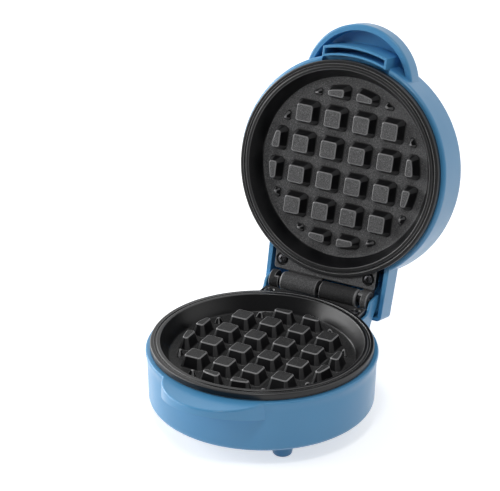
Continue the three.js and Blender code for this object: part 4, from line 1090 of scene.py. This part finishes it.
def non_stick(name, flat_light_level):
    """A sprayed coating with painted light: walls painted near black as shade, grainy flats painted grey as
    lit, and painted highlights on the edges and inward folds.
    """
    finish = Finish(name)
    grain = finish.noise(size=0.8, detail=3.0, roughness=0.7)
    fleck = finish.noise(size=0.5, detail=1.0)
    flat, edge = finish.mark("flat"), finish.mark("edge")
    # Painted highlights on outward edges and inward folds, set by how sharply each face bends
    edge_highlight = finish.spread(edge, *CONVEX_BAND, 0, EDGE_HIGHLIGHT_COVER)
    fillet_highlight = finish.spread(edge, *CONCAVE_BAND, FILLET_HIGHLIGHT_COVER, 0)
    low, high, spark = (tuple(flat_light_level * step * tint for tint in COATING_TINT) for step in COATING_GRAINS)
    # Painted shade on the walls and painted light on the level flats, both over the coating's grain
    shaded_wall = finish.mixed(finish.spread(grain, *GRAIN_BAND), *COATING_SHADED_WALL)
    lit_flat = finish.mixed(finish.spread(grain, *GRAIN_BAND), low, high)
    lit_flat = finish.mixed(finish.spread(fleck, *FLECK_BAND), lit_flat, spark)
    body = finish.mixed(fillet_highlight, finish.mixed(flat, shaded_wall, lit_flat), COATING_FILLET_HIGHLIGHT)
    finish.set("Base Color", finish.mixed(edge_highlight, body, COATING_EDGE_HIGHLIGHT))
    sheen = finish.spread(flat, 0, 1, *COATING_SHEEN)
    finish.set("Specular IOR Level", finish.between(edge_highlight, sheen, 1.0))
    dull = finish.spread(grain, *NOISE_BAND, *COATING_DULL)
    glossy = finish.spread(grain, *NOISE_BAND, *COATING_GLOSSY)
    finish.set("Roughness", finish.between(flat, glossy, dull))
    share = finish.spread(flat, 0, 1, WALL_RELIEF, 1)
    finish.relief(finish.joined("MULTIPLY", grain, share), depth=0.06, edge=0.25)
    return finish.material


def metal(name, colour, roughness):
    """A bare metal with a fine rolled grain."""
    finish = Finish(name, metallic=1.0, roughness=roughness)
    rolled = finish.node("ShaderNodeMapping", {"Vector": finish.place, "Scale": (1.0, 12.0, 12.0)})
    grain = finish.noise(size=2.5, detail=3.0, roughness=0.6, place=rolled.outputs["Vector"])
    lighter = tuple(min(1.0, c * 1.18) for c in colour)
    finish.set("Base Color", finish.mixed(finish.spread(grain, *NOISE_BAND), colour, lighter))
    finish.set("Roughness", finish.spread(grain, *NOISE_BAND, roughness * 0.8, roughness * 1.25))
    finish.relief(grain, depth=0.01, edge=0.2)
    return finish.material


def matt(name, colour, roughness, grain_size):
    """A dull moulded or fired surface with a fine grain."""
    finish = Finish(name, roughness=roughness)
    grain = finish.noise(size=grain_size, detail=4.0, roughness=0.6)
    darker = tuple(c * 0.82 for c in colour)
    finish.set("Base Color", finish.mixed(finish.spread(grain, *NOISE_BAND), darker, colour))
    finish.set("Roughness", finish.spread(grain, *NOISE_BAND, roughness * 0.9, min(1.0, roughness * 1.1)))
    finish.relief(grain, depth=0.03, edge=0.25)
    return finish.material


def smoked_lens():
    finish = Finish("smoked_lens", roughness=0.12, specular_ior_level=0.5, coat_weight=0.4)
    ripple = finish.noise(size=1.2, detail=1.0)
    finish.set("Base Color", finish.mixed(finish.noise(size=4), *LENS_COLOURS))
    finish.relief(ripple, depth=0.003, edge=0.2)
    return finish.material


def lamp_glass():
    finish = Finish("lamp_glass", roughness=0.08, transmission_weight=0.7, ior=1.5)
    finish.set("Base Color", finish.mixed(finish.noise(size=2), *LAMP_COLOURS))
    return finish.material


def fibre_sleeve():
    """Braided glass fibre: two families of diagonal threads."""
    finish = Finish("fibre_sleeve", roughness=0.8)
    waves = []
    for turn in (0.9, -0.9):
        tilted = finish.node("ShaderNodeMapping", {"Vector": finish.place, "Rotation": (turn, turn, turn)})
        wave = finish.node("ShaderNodeTexWave", {
            "Vector": tilted.outputs["Vector"], "Scale": 0.3 / MM, "Distortion": 1.0})
        waves.append(wave.outputs["Fac"])
    braid = finish.joined("MAXIMUM", *waves)
    finish.set("Base Color", finish.mixed(braid, *SLEEVE_COLOURS))
    finish.relief(braid, depth=0.1)
    return finish.material


# The object
materials = {
    "blue_plastic": blue_plastic(),
    "dark_steel": metal("dark_steel", (0.075, 0.075, 0.080), 0.37),
    "bright_steel": metal("bright_steel", (0.52, 0.52, 0.54), 0.37),
    "sheet_aluminium": metal("sheet_aluminium", (0.6, 0.6, 0.62), 0.4),
    "ceramic": matt("ceramic", (0.78, 0.75, 0.68), 0.75, 0.5),
    "black_rubber": matt("black_rubber", (0.022, 0.022, 0.023), 0.7, 0.4),
    "smoked_lens": smoked_lens(),
    "lamp_glass": lamp_glass(),
    "fibre_sleeve": fibre_sleeve(),
}
# Lit and shaded copies of one coating: the upper casting's flats are painted lighter than the lower's
castings = {
    "upper": non_stick("non_stick_painted_lit", UPPER_PAINTED_LIGHT),
    "lower": non_stick("non_stick_painted_shaded", LOWER_PAINTED_SHADE),
}

piece("base_body", base_housing(), TO_BASE, "base", "blue_plastic", "base_housing")
for foot_name, (foot_x, foot_y) in FOOT_PLACES.items():
    piece(foot_name.replace("foot", "round_foot"), moved(foot(), foot_x, foot_y, 0), TO_BASE, "base",
          "blue_plastic", foot_name)
piece("gland_bush", cord_gland(), TO_BASE, "base", "black_rubber", "cord_gland")
piece("lid_body", lid_housing(), TO_LID, "lid", "blue_plastic", "lid_housing")
piece("lens_bar", indicator_lens(), TO_LID, "lid", "smoked_lens", "indicator_lens")
for half, body, place in (("lower", "base", TO_BASE), ("upper", "lid", TO_LID @ TURN_OVER)):
    piece(f"{half}_plate_casting", grill_plate(), place, body, "non_stick_casting",
          f"{half}_grill_plate", material=castings[half])
    for side, screw_x in (("left", -SCREW_X), ("right", SCREW_X)):
        sunk = moved(screw(SCREW_LENGTH), screw_x, SCREW_Y, SCREW_RISE - TAB_DROP)
        piece(f"{half}_tab_screw_{side}", sunk, place, body, "dark_steel", f"{half}_hinge_screw_{side}")
case_screw = screw(CASE_SCREW_LENGTH)
case_screw.data.transform(Matrix.Rotation(math.pi, 4, "X"))
moved(case_screw, 0, CASE_SCREW_Y, SINK_DEPTH - BASE_DEPTH - HOLE_GAP - HEAD_HEIGHT)
piece("case_screw", case_screw, TO_BASE, "base", "bright_steel", "front_case_screw")

record_slots = {part["node"]: part["material_slot"] for part in frame["record"]["subparts"]}
for node_name, node in frame["nodes"].items():
    if node.hide_render:
        continue
    node.data.materials.clear()
    node.data.materials.append(materials[record_slots[node_name]])
    for polygon in node.data.polygons:
        polygon.use_smooth = True
    node.data.set_sharp_from_angle(angle=math.radians(CAD_SHARP_DEGREES))

# The camera, fitted to the photograph
CAMERA_AZIMUTH = 28.203
CAMERA_ELEVATION = 26.039
CAMERA_ROLL = -0.454
CAMERA_SHIFT = (6.624, -51.441)
CAMERA_DISTANCE = 1754.478
FOCAL_PIXELS = 3224.256
PICTURE_WIDTH = 500
SENSOR = 36.0
CLIP_NEAR, CLIP_FAR = 0.05, 50


def add_camera():
    azimuth, elevation = math.radians(CAMERA_AZIMUTH), math.radians(CAMERA_ELEVATION)
    back = Vector((math.sin(azimuth) * math.cos(elevation), -math.cos(azimuth) * math.cos(elevation),
                   math.sin(elevation)))
    right = Vector((math.cos(azimuth), math.sin(azimuth), 0))
    up = back.cross(right)
    turn = Matrix((right, up, back))
    turn = Matrix.Rotation(math.radians(CAMERA_ROLL), 3, "Z") @ turn
    view = turn.transposed()
    spot = view @ Vector((-CAMERA_SHIFT[0], -CAMERA_SHIFT[1], CAMERA_DISTANCE))
    data = bpy.data.cameras.new("camera")
    data.sensor_width = SENSOR
    data.lens = FOCAL_PIXELS / PICTURE_WIDTH * SENSOR
    data.clip_start, data.clip_end = CLIP_NEAR, CLIP_FAR
    camera = bpy.data.objects.new("camera", data)
    bpy.context.scene.collection.objects.link(camera)
    camera.matrix_world = Matrix.Translation(TO_BASE @ spot) @ view.to_4x4()
    bpy.context.scene.camera = camera


add_camera()

# Floor, world and lamps. The room has one strength on the viewer's side and one behind the object
FLOOR_SIZE = 12
FLOOR_COLOUR = (0.86, 0.86, 0.86)
FLOOR_GLOW = 0.60
ROOM_LIGHT = (0.11, 0.60)
ROOM_MIRRORED = (0.12, 1.0)
ROOM_BAND = (-0.6, 0.2)
WHITE = (1, 1, 1, 1)

# Each lamp's place and target in metres about the object's foot, its width, its height and its power
LAMPS = {
    "key": ((-1.50, -0.72, 0.60), (0, 0, 0.08), 1.4, 0.8, 18),
    "top": ((0.25, -0.75, 1.5), (0, 0, 0.08), 0.25, 0.25, 5),
    "rim": ((-1.6, 0.3, 0.4), (0, 0, 0.05), 0.6, 0.5, 7),
}


def add_floor():
    """A pale floor that takes the shadow and looks white to the camera and in mirrors."""
    bpy.ops.mesh.primitive_plane_add(size=FLOOR_SIZE, location=(0, 0, 0))
    floor = bpy.context.object
    floor.name = "floor"
    finish = Finish("floor", base_color=(*FLOOR_COLOUR, 1), roughness=0.9, specular_ior_level=0.1,
                    emission_color=WHITE)
    rays = finish.node("ShaderNodeLightPath").outputs
    seen = finish.joined("MAXIMUM", rays["Is Camera Ray"], rays["Is Glossy Ray"])
    finish.set("Emission Strength", finish.joined("MULTIPLY", seen, FLOOR_GLOW))
    floor.data.materials.append(finish.material)


def add_world():
    """A white backdrop, seen directly and mirrored, in a dim room that is darkest on the viewer's side."""
    world = bpy.data.worlds.new("studio")
    bpy.context.scene.world = world
    world.use_nodes = True
    tree = world.node_tree
    background = tree.nodes["Background"].inputs
    background["Color"].default_value = WHITE
    rays = add_node(tree, "ShaderNodeLightPath").outputs
    toward = add_node(tree, "ShaderNodeTexCoord").outputs["Generated"]
    depth = add_node(tree, "ShaderNodeSeparateXYZ", {0: toward}).outputs["Y"]

    def front_to_back(front, back):
        inputs = {"Value": depth, "From Min": ROOM_BAND[0], "From Max": ROOM_BAND[1],
                  "To Min": front, "To Max": back}
        ramp = add_node(tree, "ShaderNodeMapRange", inputs, interpolation_type="SMOOTHSTEP")
        return ramp.outputs["Result"]

    strength = front_to_back(*ROOM_LIGHT)
    mirrored = front_to_back(*ROOM_MIRRORED)
    for ray, seen in (("Is Glossy Ray", mirrored), ("Is Transmission Ray", 1.0), ("Is Camera Ray", 1.0)):
        choice = add_node(tree, "ShaderNodeMix", {"Factor": rays[ray], "A": strength, "B": seen})
        strength = choice.outputs["Result"]
    tree.links.new(strength, background["Strength"])


def add_lamp(name, spot, target, width, height, power):
    """A soft rectangular lamp turned towards its target."""
    data = bpy.data.lights.new(name, "AREA")
    data.shape = "RECTANGLE"
    data.size, data.size_y = width, height
    data.energy = power
    lamp = bpy.data.objects.new(name, data)
    bpy.context.scene.collection.objects.link(lamp)
    lamp.location = spot
    lamp.rotation_mode = "QUATERNION"
    lamp.rotation_quaternion = (Vector(target) - Vector(spot)).to_track_quat("-Z", "Y")


add_floor()
add_world()
for lamp_name, lamp_values in LAMPS.items():
    add_lamp(lamp_name, *lamp_values)
bpy.context.scene.view_settings.view_transform = "Standard"
